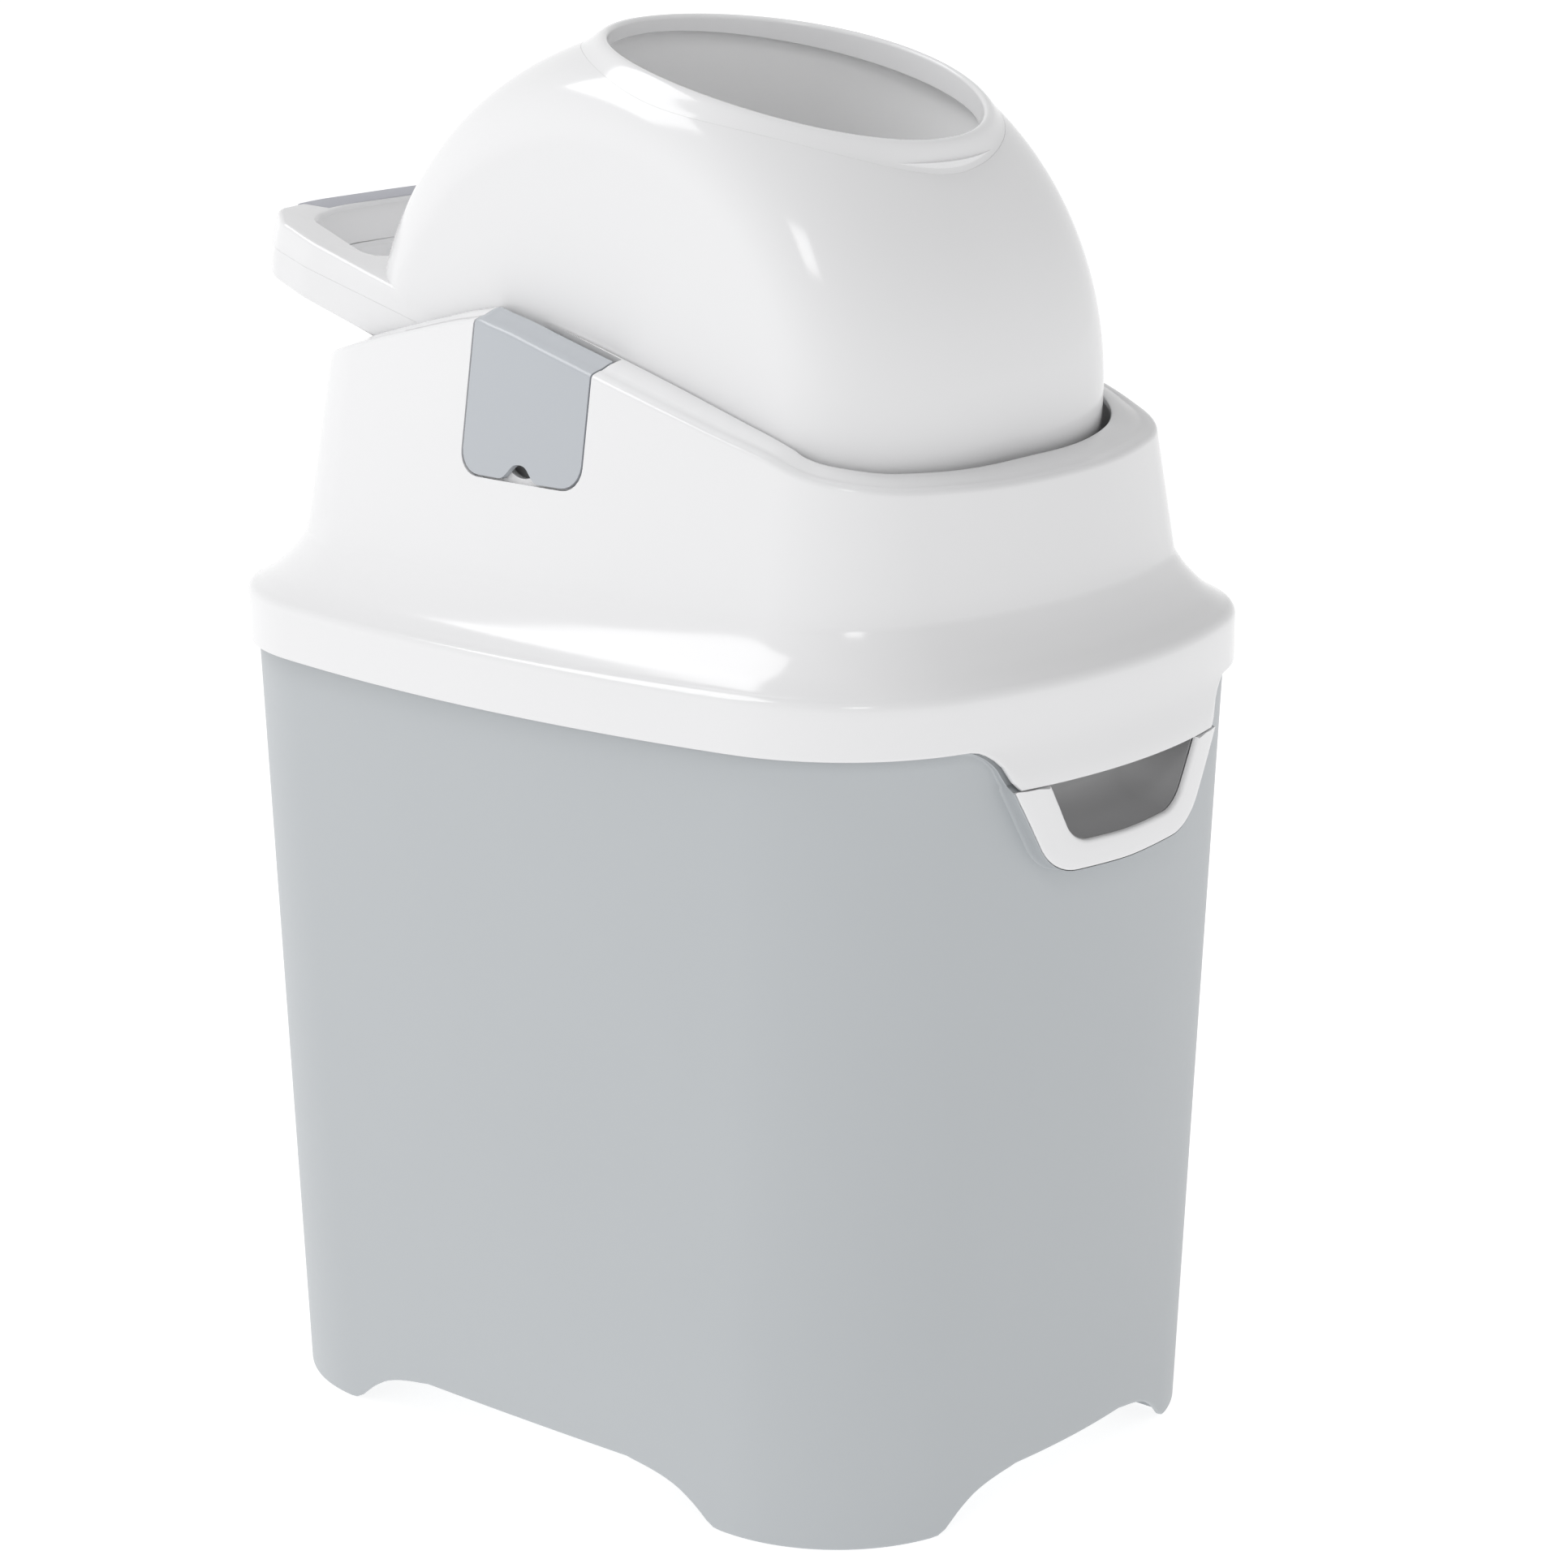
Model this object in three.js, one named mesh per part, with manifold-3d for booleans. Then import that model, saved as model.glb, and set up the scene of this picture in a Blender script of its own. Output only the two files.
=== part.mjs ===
// Nappy bin with a flip-over drum, in millimetres, +Z up, front towards -Y.
import * as THREE from 'three';
import Module from 'manifold-3d';
import { mergeVertices } from 'three/addons/utils/BufferGeometryUtils.js';

// Driving dimensions: the drum
const DRUM_RADIUS = 132.2;
const DRUM_HALF_WIDTH = 86.2;
const DRUM_CROWN = 39.4;
const DRUM_FLAT_HALF = 9.7;
const DRUM_WALL = 3;
const DRUM_ROUNDNESS_SHARE = 2.26;
const DRUM_TILT = THREE.MathUtils.degToRad(14.5);
const TUBE_WALL = 2.4;
const TUBE_MARGIN = 4.4;
const LIP_SIDE_ROOM = 7.2;
const LIP_WIDTH = 9;
const LIP_SLOPE_RUN = 7.3;
const LIP_SKIRT = 1.4;
const LIP_CREST_DROP = 13.8;
const LIP_SADDLE = 1.8;
const LIP_THROAT = 8.2;
const LIP_ROUND = 2;

// Driving dimensions: the handle loop
const HANDLE_STANDOFF = 50;
const HANDLE_TAPER = 7.5;
const HANDLE_THICKNESS = 22.8;
const HANDLE_CORNER = 18;
const ARM_WIDTH = 15;
const ARM_TAPER_DEPTH = 4.2;
const CROSSBAR_WIDTH = 21.7;
const HANDLE_WALL = 2.6;
const OPENING_CORNER = 8;
const GRIP_PAD_SIDE_ROOM = 26.2;
const GRIP_PAD_LEG = 6.6;
const GRIP_PAD_WALL = 2.5;

// Driving dimensions: bucket and lid outlines, as seen from above
const SIDE_ROOM = 55.1;
const END_ROOM = 53;
const BAND_CORNER = 78.6;
const BAND_SIDE_BULGE = 7.9;
const BAND_END_BULGE = 9.2;
const FOOT_CORNER = 65.2;
const FOOT_SIDE_BULGE = 1.3;
const FOOT_END_BULGE = 4.6;
const SKIRT_STEP = 4.1;
const BUCKET_DRAFT = 16.6;

// Driving dimensions: heights
const SKIRT_Z = 300;
const BAND_HEIGHT = 17.5;
const FLARE_HEIGHT = 24.5;
const FLARE_WIDTH = 23.5;
const NECK_LEAN_SHARE = 0.165;
const DRUM_SINK = 28.6;
const PIVOT_Y = -0.7;
const RIM_DROP = 19.1;
const RIM_WAVE = 47.9;
const RIM_RUN = 190;
const RIM_PEAK_Y = 35;

// Bucket
const BUCKET_WALL = 2.4;
const BUCKET_TOP_RISE = 8;
const RIM_BEAD_WIDTH = 4.8;
const RIM_BEAD_HEIGHT = 5;
const ARCH_HEIGHT = 17.8;
const ARCH_TO_FLOOR = 4;
const FLOOR_THICKNESS = 2.5;
const SIDE_ARCH_FLAT = 58;
const SIDE_ARCH_END = 95;
const FRONT_ARCH_FLAT = 43;
const FRONT_ARCH_END = 70;

// Front grip: a U-shaped boss with a bowl let into it
const GRIP_TOP_HALF = 58.4;
const GRIP_BOTTOM_HALF = 42;
const GRIP_DEPTH = 33;
const GRIP_CORNER = 14;
const GRIP_PROUD = 6.8;
const GRIP_FACE_WALL = 2.2;
const BOWL_TOP_HALF = 43.6;
const BOWL_BOTTOM_HALF = 34.4;
const BOWL_RIM = 9.7;
const BOWL_CORNER = 9;
const BOWL_WALL = 1.8;
const BOWL_DEPTH = 17;
const BOWL_HEAD = 13;

// Lid housing
const LID_WALL = 2.5;
const TAB_DROP = 16.1;
const TAB_BOTTOM_HALF = 57.5;
const TAB_TOP_HALF = 78;
const TAB_FLARE = 2.4;
const RIM_WIDTH = 12;
const RIM_RISE = 3.2;
const RIM_SPAN = 34;
const RIM_SPAN_RISE = 5.6;
const COLLAR_WALL = 2.2;
const COLLAR_FOOT_RISE = 6;
const DRUM_CLEARANCE = 2.8;
const LIP_CLEARANCE = 1.2;
const ARM_CLEARANCE = 1.5;
const GASKET_HEIGHT = 3.4;
const GASKET_MARGIN = 0.7;
const RIB_ROOT = 3.5;

// Pivot: journals on the drum in open saddles of the lid, kept in by side clips
const JOURNAL_RADIUS = 10;
const JOURNAL_REACH = 12.4;
const JOURNAL_FLANGE_RADIUS = 20;
const JOURNAL_FLANGE_WALL = 3;
const SADDLE_HALF_LENGTH = 17;
const SADDLE_DEPTH = 24;
const SADDLE_HORN = 13;
const JOURNAL_CLEARANCE = 0.4;
const CLIP_FRONT_Y = -22.3;
const CLIP_REAR_Y = 36.5;
const CLIP_DROP = 25.8;
const CLIP_CORNER = 9;
const CLIP_WALL = 2.5;
const CLIP_NOTCH_RADIUS = 9;
const CLIP_NOTCH_DEPTH = 6;
const CLIP_BACKING = 2.2;
const CLIP_BACKING_EDGE = 3;
const TONGUE_WIDTH = 6;

// Cradle under the drum, with its seal and screws
const CRADLE_WALL = 2.2;
const SEAL_WIDTH = 6;
const SEAL_THICKNESS = 1.6;
const SCREW_RADIUS = 1.3;
const SCREW_LENGTH = 12;
const SCREW_HEAD_RADIUS = 2.9;
const SCREW_HEAD_HEIGHT = 2.2;
const SCREW_BOSS_RADIUS = 3.8;
const SCREW_BOSS_WALL = 5;

// Rear hinge
const HINGE_X = 34;
const HINGE_OUT = 5.8;
const HINGE_DROP = 9;
const EAR_RADIUS = 7;
const EAR_WALL = 4;
const LUG_RADIUS = 6.5;
const LUG_WIDTH = 13;
const LUG_GAP = 0.5;
const PIN_RADIUS = 2.5;
const PIN_HEAD_RADIUS = 4;
const PIN_HEAD_HEIGHT = 1.5;

// Piston inside the tube
const PISTON_HEIGHT = 70;
const PISTON_WALL = 2.4;
const PISTON_CLEARANCE = 1;
const PISTON_SEAL_HEIGHT = 5;
const PISTON_SEAL_DEPTH = 2;
const PISTON_SEAL_MARGIN = 6;
const PISTON_POST_RADIUS = 14;
const WEIGHT_RADIUS = 50;
const WEIGHT_HEIGHT = 5;

// Clearances shared by all pieces
const GAP = 0.3;
const OVERRUN = 20;

// Steps on round forms, and how near two points of a mesh may lie before they are one
const SIDE_STEPS = 3;
const CORNER_STEPS = 6;
const END_STEPS = 3;
const DRUM_STEPS = 40;
const SHOULDER_STEPS = 6;
const TUBE_STEPS = 32;
const PIN_STEPS = 16;
const FILLET_STEPS = 4;
const MERGE_TOLERANCE = 0.0001;

// Shares of height against run, chosen by hand, and how fast the lips' sweep fades to the sides
const FLARE_SHARES = [[0, 0], [0.06, 0.12], [0.22, 0.21], [0.48, 0.375], [0.757, 0.64], [0.93, 0.87], [1, 1]];
const WAVE_SHARES = [[0, 1], [0.09, 0.96], [0.2, 0.86], [0.3, 0.73], [0.44, 0.565], [0.56, 0.428],
  [0.7, 0.27], [0.8, 0.148], [0.87, 0.092], [0.95, 0.03], [1, 0], [2, 0]];
const ARCH_SHARES = [[0, 0], [0.05, 0.12], [0.17, 0.36], [0.31, 0.62], [0.5, 0.82], [0.75, 0.95], [1, 1]];
const TAB_SHARES = [[0, 0], [0.1, 0.1], [0.33, 0.56], [0.6, 0.84], [0.82, 0.97], [1, 1]];
const LIP_SHARES = [[0, 0], [0.34, 0.15], [0.6, 0.42], [0.76, 0.74], [0.87, 0.93], [1, 1]];
const SWEEP_FADE_SHARE = 8;

// Sizes worked out from the driving dimensions
const pivotZ = SKIRT_Z + DRUM_RADIUS - DRUM_SINK;
const bandTopZ = SKIRT_Z + BAND_HEIGHT;
const neckZ = bandTopZ + FLARE_HEIGHT;
const rimLowZ = pivotZ - RIM_DROP;
const bucketTopZ = SKIRT_Z + BUCKET_TOP_RISE;
const floorZ = ARCH_HEIGHT + ARCH_TO_FLOOR;
const tabZ = SKIRT_Z - TAB_DROP;
const collarZ = neckZ + COLLAR_FOOT_RISE;
const discRadius = DRUM_RADIUS - DRUM_CROWN;
const lipOuterRadius = DRUM_HALF_WIDTH - LIP_SIDE_ROOM;
const lipCrestRadius = lipOuterRadius - LIP_SLOPE_RUN;
const lipInnerRadius = lipOuterRadius - LIP_WIDTH;
const crestReach = DRUM_RADIUS - LIP_CREST_DROP;
const tubeBore = lipOuterRadius - TUBE_MARGIN;
const tubeRadius = tubeBore + TUBE_WALL;
const mouthPlane = Math.sqrt(DRUM_RADIUS ** 2 - lipOuterRadius ** 2);
const tubeHalf = crestReach - LIP_THROAT - GAP;
const lipReach = Math.hypot(crestReach - LIP_SADDLE, lipCrestRadius);
const lipSweep = Math.max(0, lipReach + LIP_CLEARANCE - DRUM_RADIUS - DRUM_CLEARANCE);
const dropRadius = lipOuterRadius + GAP;
const handleReach = DRUM_RADIUS + HANDLE_STANDOFF;
const armStraight = DRUM_RADIUS - ARM_TAPER_DEPTH;
const gripPadHalf = DRUM_HALF_WIDTH - GRIP_PAD_SIDE_ROOM;
const cradleClearance = DRUM_CLEARANCE + SEAL_THICKNESS + GAP;
const band = {
  halfWidth: DRUM_HALF_WIDTH + SIDE_ROOM,
  halfLength: DRUM_RADIUS + END_ROOM,
  corner: BAND_CORNER,
  sideBulge: BAND_SIDE_BULGE,
  endBulge: BAND_END_BULGE,
};
const foot = {
  halfWidth: band.halfWidth - SKIRT_STEP - BUCKET_DRAFT,
  halfLength: band.halfLength - SKIRT_STEP - BUCKET_DRAFT,
  corner: FOOT_CORNER,
  sideBulge: FOOT_SIDE_BULGE,
  endBulge: FOOT_END_BULGE,
};
const hingeY = band.halfLength + HINGE_OUT;
const hingeZ = SKIRT_Z - HINGE_DROP;
const farOut = band.halfLength + OVERRUN;
const overTop = pivotZ + DRUM_RADIUS + OVERRUN;

// Colours and finishes
const white = { color: 0xf1f2f3, roughness: 0.28, metalness: 0 };
const grey = { color: 0xb9bec3, roughness: 0.5, metalness: 0 };
const clipGrey = { color: 0xc0c6cb, roughness: 0.4, metalness: 0 };
const innerGrey = { color: 0xd4d5d6, roughness: 0.4, metalness: 0 };
const sealGrey = { color: 0x6f7377, roughness: 0.8, metalness: 0 };
const steel = { color: 0xa9abad, roughness: 0.35, metalness: 1 };

const wasm = await Module();
wasm.setup();

// Turns a closed geometry into a solid, with its faces out
function solid(geometry) {
  const bare = geometry.clone();
  bare.deleteAttribute('normal');
  bare.deleteAttribute('uv');
  const merged = mergeVertices(bare, MERGE_TOLERANCE);
  const points = merged.attributes.position.array;
  const corners = Uint32Array.from(merged.index.array);
  const made = (triangles) => new wasm.Manifold(
    new wasm.Mesh({ numProp: 3, vertProperties: points, triVerts: triangles }));
  const first = made(corners);
  return first.volume() < 0 ? made(corners.reverse()) : first;
}

function geometryOf(shape) {
  const mesh = shape.getMesh();
  const geometry = new THREE.BufferGeometry();
  geometry.setAttribute('position', new THREE.BufferAttribute(Float32Array.from(mesh.vertProperties), 3));
  geometry.setIndex(new THREE.BufferAttribute(Uint32Array.from(mesh.triVerts), 1));
  geometry.computeVertexNormals();
  return geometry;
}

function join(...shapes) {
  return shapes.reduce((sum, shape) => sum.add(shape));
}

function cut(shape, ...tools) {
  return tools.reduce((rest, tool) => rest.subtract(tool), shape);
}

// Closed skin over rings of equal point counts, from the lowest ring to the top one
function loft(rings) {
  const count = rings[0].length;
  const positions = rings.flat(2);
  const triangles = [];
  for (let level = 0; level + 1 < rings.length; level += 1) {
    for (let k = 0; k < count; k += 1) {
      const next = (k + 1) % count;
      const low = level * count;
      const high = low + count;
      triangles.push(low + k, low + next, high + next, low + k, high + next, high + k);
    }
  }
  const middle = (ring) => [0, 1, 2].map((axis) => ring.reduce((sum, p) => sum + p[axis], 0) / count);
  const bottom = rings.length * count;
  const top = bottom + 1;
  const last = bottom - count;
  positions.push(...middle(rings[0]), ...middle(rings[rings.length - 1]));
  for (let k = 0; k < count; k += 1) {
    const next = (k + 1) % count;
    triangles.push(bottom, next, k, top, last + k, last + next);
  }
  const geometry = new THREE.BufferGeometry();
  geometry.setAttribute('position', new THREE.Float32BufferAttribute(positions, 3));
  geometry.setIndex(triangles);
  return solid(geometry);
}

// Closed ring over sections of equal point counts, the last one joined to the first
function hoop(sections) {
  const count = sections[0].length;
  const triangles = [];
  sections.forEach((section, level) => {
    const here = level * count;
    const there = (level + 1) % sections.length * count;
    section.forEach((point, k) => {
      const next = (k + 1) % count;
      triangles.push(here + k, here + next, there + next, here + k, there + next, there + k);
    });
  });
  const geometry = new THREE.BufferGeometry();
  geometry.setAttribute('position', new THREE.Float32BufferAttribute(sections.flat(2), 3));
  geometry.setIndex(triangles);
  return solid(geometry);
}

function box(x0, x1, y0, y1, z0, z1) {
  const geometry = new THREE.BoxGeometry(x1 - x0, y1 - y0, z1 - z0);
  geometry.translate((x0 + x1) / 2, (y0 + y1) / 2, (z0 + z1) / 2);
  return solid(geometry);
}

// Straight extrusion of [u, v] points from one place to another along an axis
function prism(points, from, to, axis) {
  const shape = new THREE.Shape(points.map(([u, v]) => new THREE.Vector2(u, v)));
  const geometry = new THREE.ExtrudeGeometry(shape, { depth: to - from, bevelEnabled: false });
  geometry.translate(0, 0, from);
  if (axis === 'x') {
    geometry.rotateY(Math.PI / 2);
    geometry.rotateX(Math.PI / 2);
  }
  if (axis === 'y') {
    geometry.rotateX(Math.PI / 2);
    geometry.scale(1, -1, 1);
  }
  return solid(geometry);
}

// Solid of revolution about Z from [radius, height] points
function turned(profile, steps) {
  const geometry = new THREE.LatheGeometry(profile.map(([r, h]) => new THREE.Vector2(r, h)), steps);
  geometry.rotateX(Math.PI / 2);
  return geometry;
}

function post(radius, z0, z1, steps = TUBE_STEPS) {
  return turned([[0, z0], [radius, z0], [radius, z1], [0, z1]], steps);
}

// The same, lying along X from one place to another
function rod(radius, x0, x1, y, z, steps = PIN_STEPS) {
  const geometry = post(radius, x0, x1, steps);
  geometry.rotateY(Math.PI / 2);
  geometry.translate(0, y, z);
  return solid(geometry);
}

// Polygon with a fillet of its own radius at each corner
function filleted(corners) {
  const points = [];
  corners.forEach(([x, y, radius = 0], i) => {
    const here = new THREE.Vector2(x, y);
    if (radius === 0) {
      points.push([x, y]);
      return;
    }
    const before = new THREE.Vector2(...corners.at(i - 1)).sub(here).normalize();
    const after = new THREE.Vector2(...corners[(i + 1) % corners.length]).sub(here).normalize();
    const half = Math.acos(before.dot(after)) / 2;
    const middle = before.clone().add(after).normalize().multiplyScalar(radius / Math.sin(half)).add(here);
    const start = before.multiplyScalar(radius / Math.tan(half)).add(here).sub(middle);
    const end = after.multiplyScalar(radius / Math.tan(half)).add(here).sub(middle);
    const turn = Math.atan2(start.cross(end), start.dot(end));
    for (let step = 0; step <= FILLET_STEPS; step += 1) {
      const p = start.clone().rotateAround(new THREE.Vector2(), turn * step / FILLET_STEPS).add(middle);
      points.push([p.x, p.y]);
    }
  });
  return points;
}

// Height share at a run share, straight between the table's points
function shareAt(shares, run) {
  const next = Math.max(1, shares.findIndex(([s]) => s >= run));
  const [s0, h0] = shares[next - 1];
  const [s1, h1] = shares[next];
  return h0 + (h1 - h0) * (run - s0) / (s1 - s0);
}

// Points and outward normals of a rounded rectangle whose sides bulge as arcs
function outline(plan) {
  const coreX = plan.halfWidth - plan.sideBulge - plan.corner;
  const coreY = plan.halfLength - plan.endBulge - plan.corner;
  const sideRadius = (coreY ** 2 + plan.sideBulge ** 2) / (2 * plan.sideBulge);
  const endRadius = (coreX ** 2 + plan.endBulge ** 2) / (2 * plan.endBulge);
  const toCorner = Math.asin(coreY / sideRadius);
  const toEnd = Math.PI / 2 - Math.asin(coreX / endRadius);
  const sideX = coreX + plan.sideBulge - sideRadius;
  const endY = coreY + plan.endBulge - endRadius;
  const arcs = [
    { x: sideX, y: 0, radius: sideRadius, from: 0, to: toCorner, steps: SIDE_STEPS },
    { x: coreX, y: coreY, radius: 0, from: toCorner, to: toEnd, steps: CORNER_STEPS },
    { x: 0, y: endY, radius: endRadius, from: toEnd, to: Math.PI / 2, steps: END_STEPS },
  ];
  const quarter = [];
  for (const arc of arcs) {
    for (let i = 0; i < arc.steps; i += 1) {
      const angle = arc.from + (arc.to - arc.from) * i / arc.steps;
      const reach = arc.radius + plan.corner;
      quarter.push({
        x: arc.x + reach * Math.cos(angle), y: arc.y + reach * Math.sin(angle),
        nx: Math.cos(angle), ny: Math.sin(angle),
      });
    }
  }
  const end = { x: 0, y: plan.halfLength, nx: 0, ny: 1 };
  const mirrored = (points, sx, sy) => points.map((p) => (
    { x: p.x * sx, y: p.y * sy, nx: p.nx * sx, ny: p.ny * sy }));
  const second = mirrored([end, ...quarter.slice(1).reverse()], -1, 1);
  return [...quarter, ...second, ...mirrored(quarter, -1, -1), ...mirrored(second, -1, -1)];
}

const bandOutline = outline(band);
const footOutline = outline(foot);

// Lid ring at one height, drawn in from the band by an inset
function lidRing(inset, z) {
  return bandOutline.map((p) => [p.x - p.nx * inset, p.y - p.ny * inset, z]);
}

function neckInset(z) {
  return FLARE_WIDTH + NECK_LEAN_SHARE * (z - neckZ);
}

function waveZ(y) {
  const run = Math.abs(y - RIM_PEAK_Y) / RIM_RUN;
  return rimLowZ + RIM_WAVE * shareAt(WAVE_SHARES, run);
}

// Ring that follows the wavy rim, drawn in from the neck and raised above the rim
function rimRing(inset, rise) {
  return bandOutline.map((p) => {
    let z = rimLowZ;
    for (let pass = 0; pass < 4; pass += 1) {
      z = waveZ(p.y - p.ny * neckInset(z));
    }
    const into = neckInset(z) + inset;
    return [p.x - p.nx * into, p.y - p.ny * into, z + rise];
  });
}

// Ring of the bucket's drafted wall
function bucketRing(inset, z) {
  const up = z / SKIRT_Z;
  return bandOutline.map((p, k) => {
    const q = footOutline[k];
    const high = [p.x - p.nx * (SKIRT_STEP + inset), p.y - p.ny * (SKIRT_STEP + inset)];
    const low = [q.x - q.nx * inset, q.y - q.ny * inset];
    return [low[0] + (high[0] - low[0]) * up, low[1] + (high[1] - low[1]) * up, z];
  });
}

function bucketLoft(inset, z0, z1) {
  return loft([bucketRing(inset, z0), bucketRing(inset, z1)]);
}

function lidLoft(inset, z0, z1) {
  return loft([lidRing(inset, z0), lidRing(inset, z1)]);
}

// Body of revolution about X that bounds the drum, grown or shrunk all over, and raised where the lips sweep
function drumBody(grow, sweep = 0) {
  const half = DRUM_HALF_WIDTH + grow;
  const shoulder = DRUM_HALF_WIDTH - DRUM_FLAT_HALF;
  const power = 2 / DRUM_ROUNDNESS_SHARE;
  const disc = discRadius + grow / 2;
  const side = [];
  for (let i = 0; i <= SHOULDER_STEPS; i += 1) {
    const angle = Math.PI / 2 * i / SHOULDER_STEPS;
    const along = half - (shoulder + grow) * (1 - Math.sin(angle) ** power);
    const out = disc + (DRUM_RADIUS + grow - disc) * Math.cos(angle) ** power;
    side.push([out + sweep * Math.cos(angle) ** SWEEP_FADE_SHARE, along]);
  }
  const profile = [[0, -half], ...side.map(([r, h]) => [r, -h]).reverse(), ...side, [0, half]];
  return turned(profile, DRUM_STEPS).rotateY(Math.PI / 2);
}

// Room that the drum and its lips need as they turn, at the drum's place in the bin
function drumRoom(grow) {
  return solid(drumBody(grow, lipSweep).translate(0, PIVOT_Y, pivotZ));
}

// Height of the drum's skin over the plane through the pivot
function drumHeight(x, y) {
  const run = Math.max(0, (Math.abs(x) - DRUM_FLAT_HALF) / (DRUM_HALF_WIDTH - DRUM_FLAT_HALF));
  const fall = (1 - run ** DRUM_ROUNDNESS_SHARE) ** (1 / DRUM_ROUNDNESS_SHARE);
  const radius = discRadius + (DRUM_RADIUS - discRadius) * fall;
  return Math.sqrt(radius ** 2 - y ** 2);
}

// U shape of the front grip, as [x, z] points
function gripOutline(topHalf, bottomHalf, depth, corner, topZ) {
  return filleted([[topHalf, topZ], [-topHalf, topZ], [-bottomHalf, tabZ - depth, corner],
    [bottomHalf, tabZ - depth, corner]]);
}

// Long arch between two feet, as [across, z] points
function archOutline(flat, end) {
  const rise = ARCH_SHARES.map(([run, up]) => [end - (end - flat) * run, ARCH_HEIGHT * up]);
  const side = [[end, -OVERRUN], ...rise];
  return [...side, ...side.map(([u, v]) => [-u, v]).reverse()];
}

const bin = new THREE.Group();
const drum = new THREE.Group();
drum.position.set(0, PIVOT_Y, pivotZ);
drum.rotation.x = DRUM_TILT;
bin.add(drum);

function addPart(parent, name, shape, look) {
  const mesh = new THREE.Mesh(geometryOf(shape), new THREE.MeshStandardMaterial(look));
  mesh.name = name;
  parent.add(mesh);
}

// Bowl insert of the front grip: outer form, hollow and face
const gripFront = -farOut;
const bowlBackY = -(band.halfLength - SKIRT_STEP - BOWL_DEPTH);
const bowlTopZ = tabZ + BOWL_HEAD;
const gripFace = gripOutline(GRIP_TOP_HALF, GRIP_BOTTOM_HALF, GRIP_DEPTH, GRIP_CORNER, tabZ - GAP);

function bowlOutline(grow) {
  const top = BOWL_TOP_HALF + grow;
  const bottom = BOWL_BOTTOM_HALF + grow;
  const lowZ = tabZ - GRIP_DEPTH + BOWL_RIM - grow;
  const corner = BOWL_CORNER + grow;
  return filleted([[top, bowlTopZ + grow], [-top, bowlTopZ + grow], [-top, tabZ],
    [-bottom, lowZ, corner], [bottom, lowZ, corner], [top, tabZ]]);
}

// Bucket: drafted shell on four corner feet, with hinge ears and the grip's boss
function makeBucket() {
  const shell = cut(
    bucketLoft(0, 0, bucketTopZ),
    loft([
      bucketRing(BUCKET_WALL, floorZ + FLOOR_THICKNESS),
      bucketRing(BUCKET_WALL, bucketTopZ - RIM_BEAD_HEIGHT - RIM_BEAD_WIDTH + BUCKET_WALL),
      bucketRing(RIM_BEAD_WIDTH, bucketTopZ - RIM_BEAD_HEIGHT),
      bucketRing(RIM_BEAD_WIDTH, bucketTopZ + OVERRUN),
    ]),
    bucketLoft(BUCKET_WALL, FLOOR_THICKNESS, floorZ),
    prism(archOutline(SIDE_ARCH_FLAT, SIDE_ARCH_END), -farOut, farOut, 'x'),
    prism(archOutline(FRONT_ARCH_FLAT, FRONT_ARCH_END), -farOut, farOut, 'y'),
  );
  const proud = bucketLoft(GRIP_FACE_WALL - GRIP_PROUD, floorZ, bucketTopZ);
  const boss = cut(
    prism(gripFace, gripFront, bowlBackY, 'y').intersect(proud),
    bucketLoft(BUCKET_WALL, floorZ, bucketTopZ),
  );
  const ears = [];
  for (const hinge of [-1, 1]) {
    for (const end of [-1, 1]) {
      const inner = LUG_WIDTH / 2 + LUG_GAP;
      const x = hinge * HINGE_X + end * (inner + EAR_WALL / 2);
      const root = band.halfLength - SKIRT_STEP - BUCKET_WALL - EAR_WALL;
      const tip = hingeY + EAR_RADIUS;
      const high = hingeZ + EAR_RADIUS;
      const low = hingeZ - EAR_RADIUS;
      const side = [[root, low - EAR_WALL], [root, high], [tip, high, EAR_RADIUS], [tip, low, EAR_RADIUS],
        [hingeY, low]];
      const plate = prism(filleted(side), x - EAR_WALL / 2, x + EAR_WALL / 2, 'x');
      ears.push(cut(plate, rod(PIN_RADIUS + GAP, x - EAR_WALL, x + EAR_WALL, hingeY, hingeZ),
        bucketLoft(BUCKET_WALL, floorZ, bucketTopZ)));
    }
  }
  const bowlHole = prism(bowlOutline(BOWL_WALL + GAP), gripFront, bowlBackY + OVERRUN, 'y');
  return cut(join(shell, boss, ...ears), bowlHole);
}

// White U face and finger bowl, pressed into the boss
function makeGripInsert() {
  const open = prism(bowlOutline(0), gripFront, bowlBackY, 'y');
  const skin = bucketLoft(-GRIP_PROUD, floorZ, bucketTopZ);
  const behindTab = box(-farOut, farOut, gripFront, 0, tabZ - GAP, overTop);
  const bossFace = bucketLoft(GRIP_FACE_WALL - GRIP_PROUD - GAP, floorZ, bucketTopZ);
  const face = cut(prism(gripFace, gripFront, bowlBackY, 'y').intersect(skin), bossFace);
  const upper = prism(bowlOutline(BOWL_WALL), gripFront, bowlBackY - BOWL_WALL + OVERRUN, 'y');
  const cup = cut(
    upper.intersect(join(cut(skin, behindTab), bucketLoft(0, floorZ, bucketTopZ))),
    box(-farOut, farOut, bowlBackY + BOWL_WALL, farOut, 0, overTop),
  );
  return cut(join(face, cup), open);
}

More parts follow.
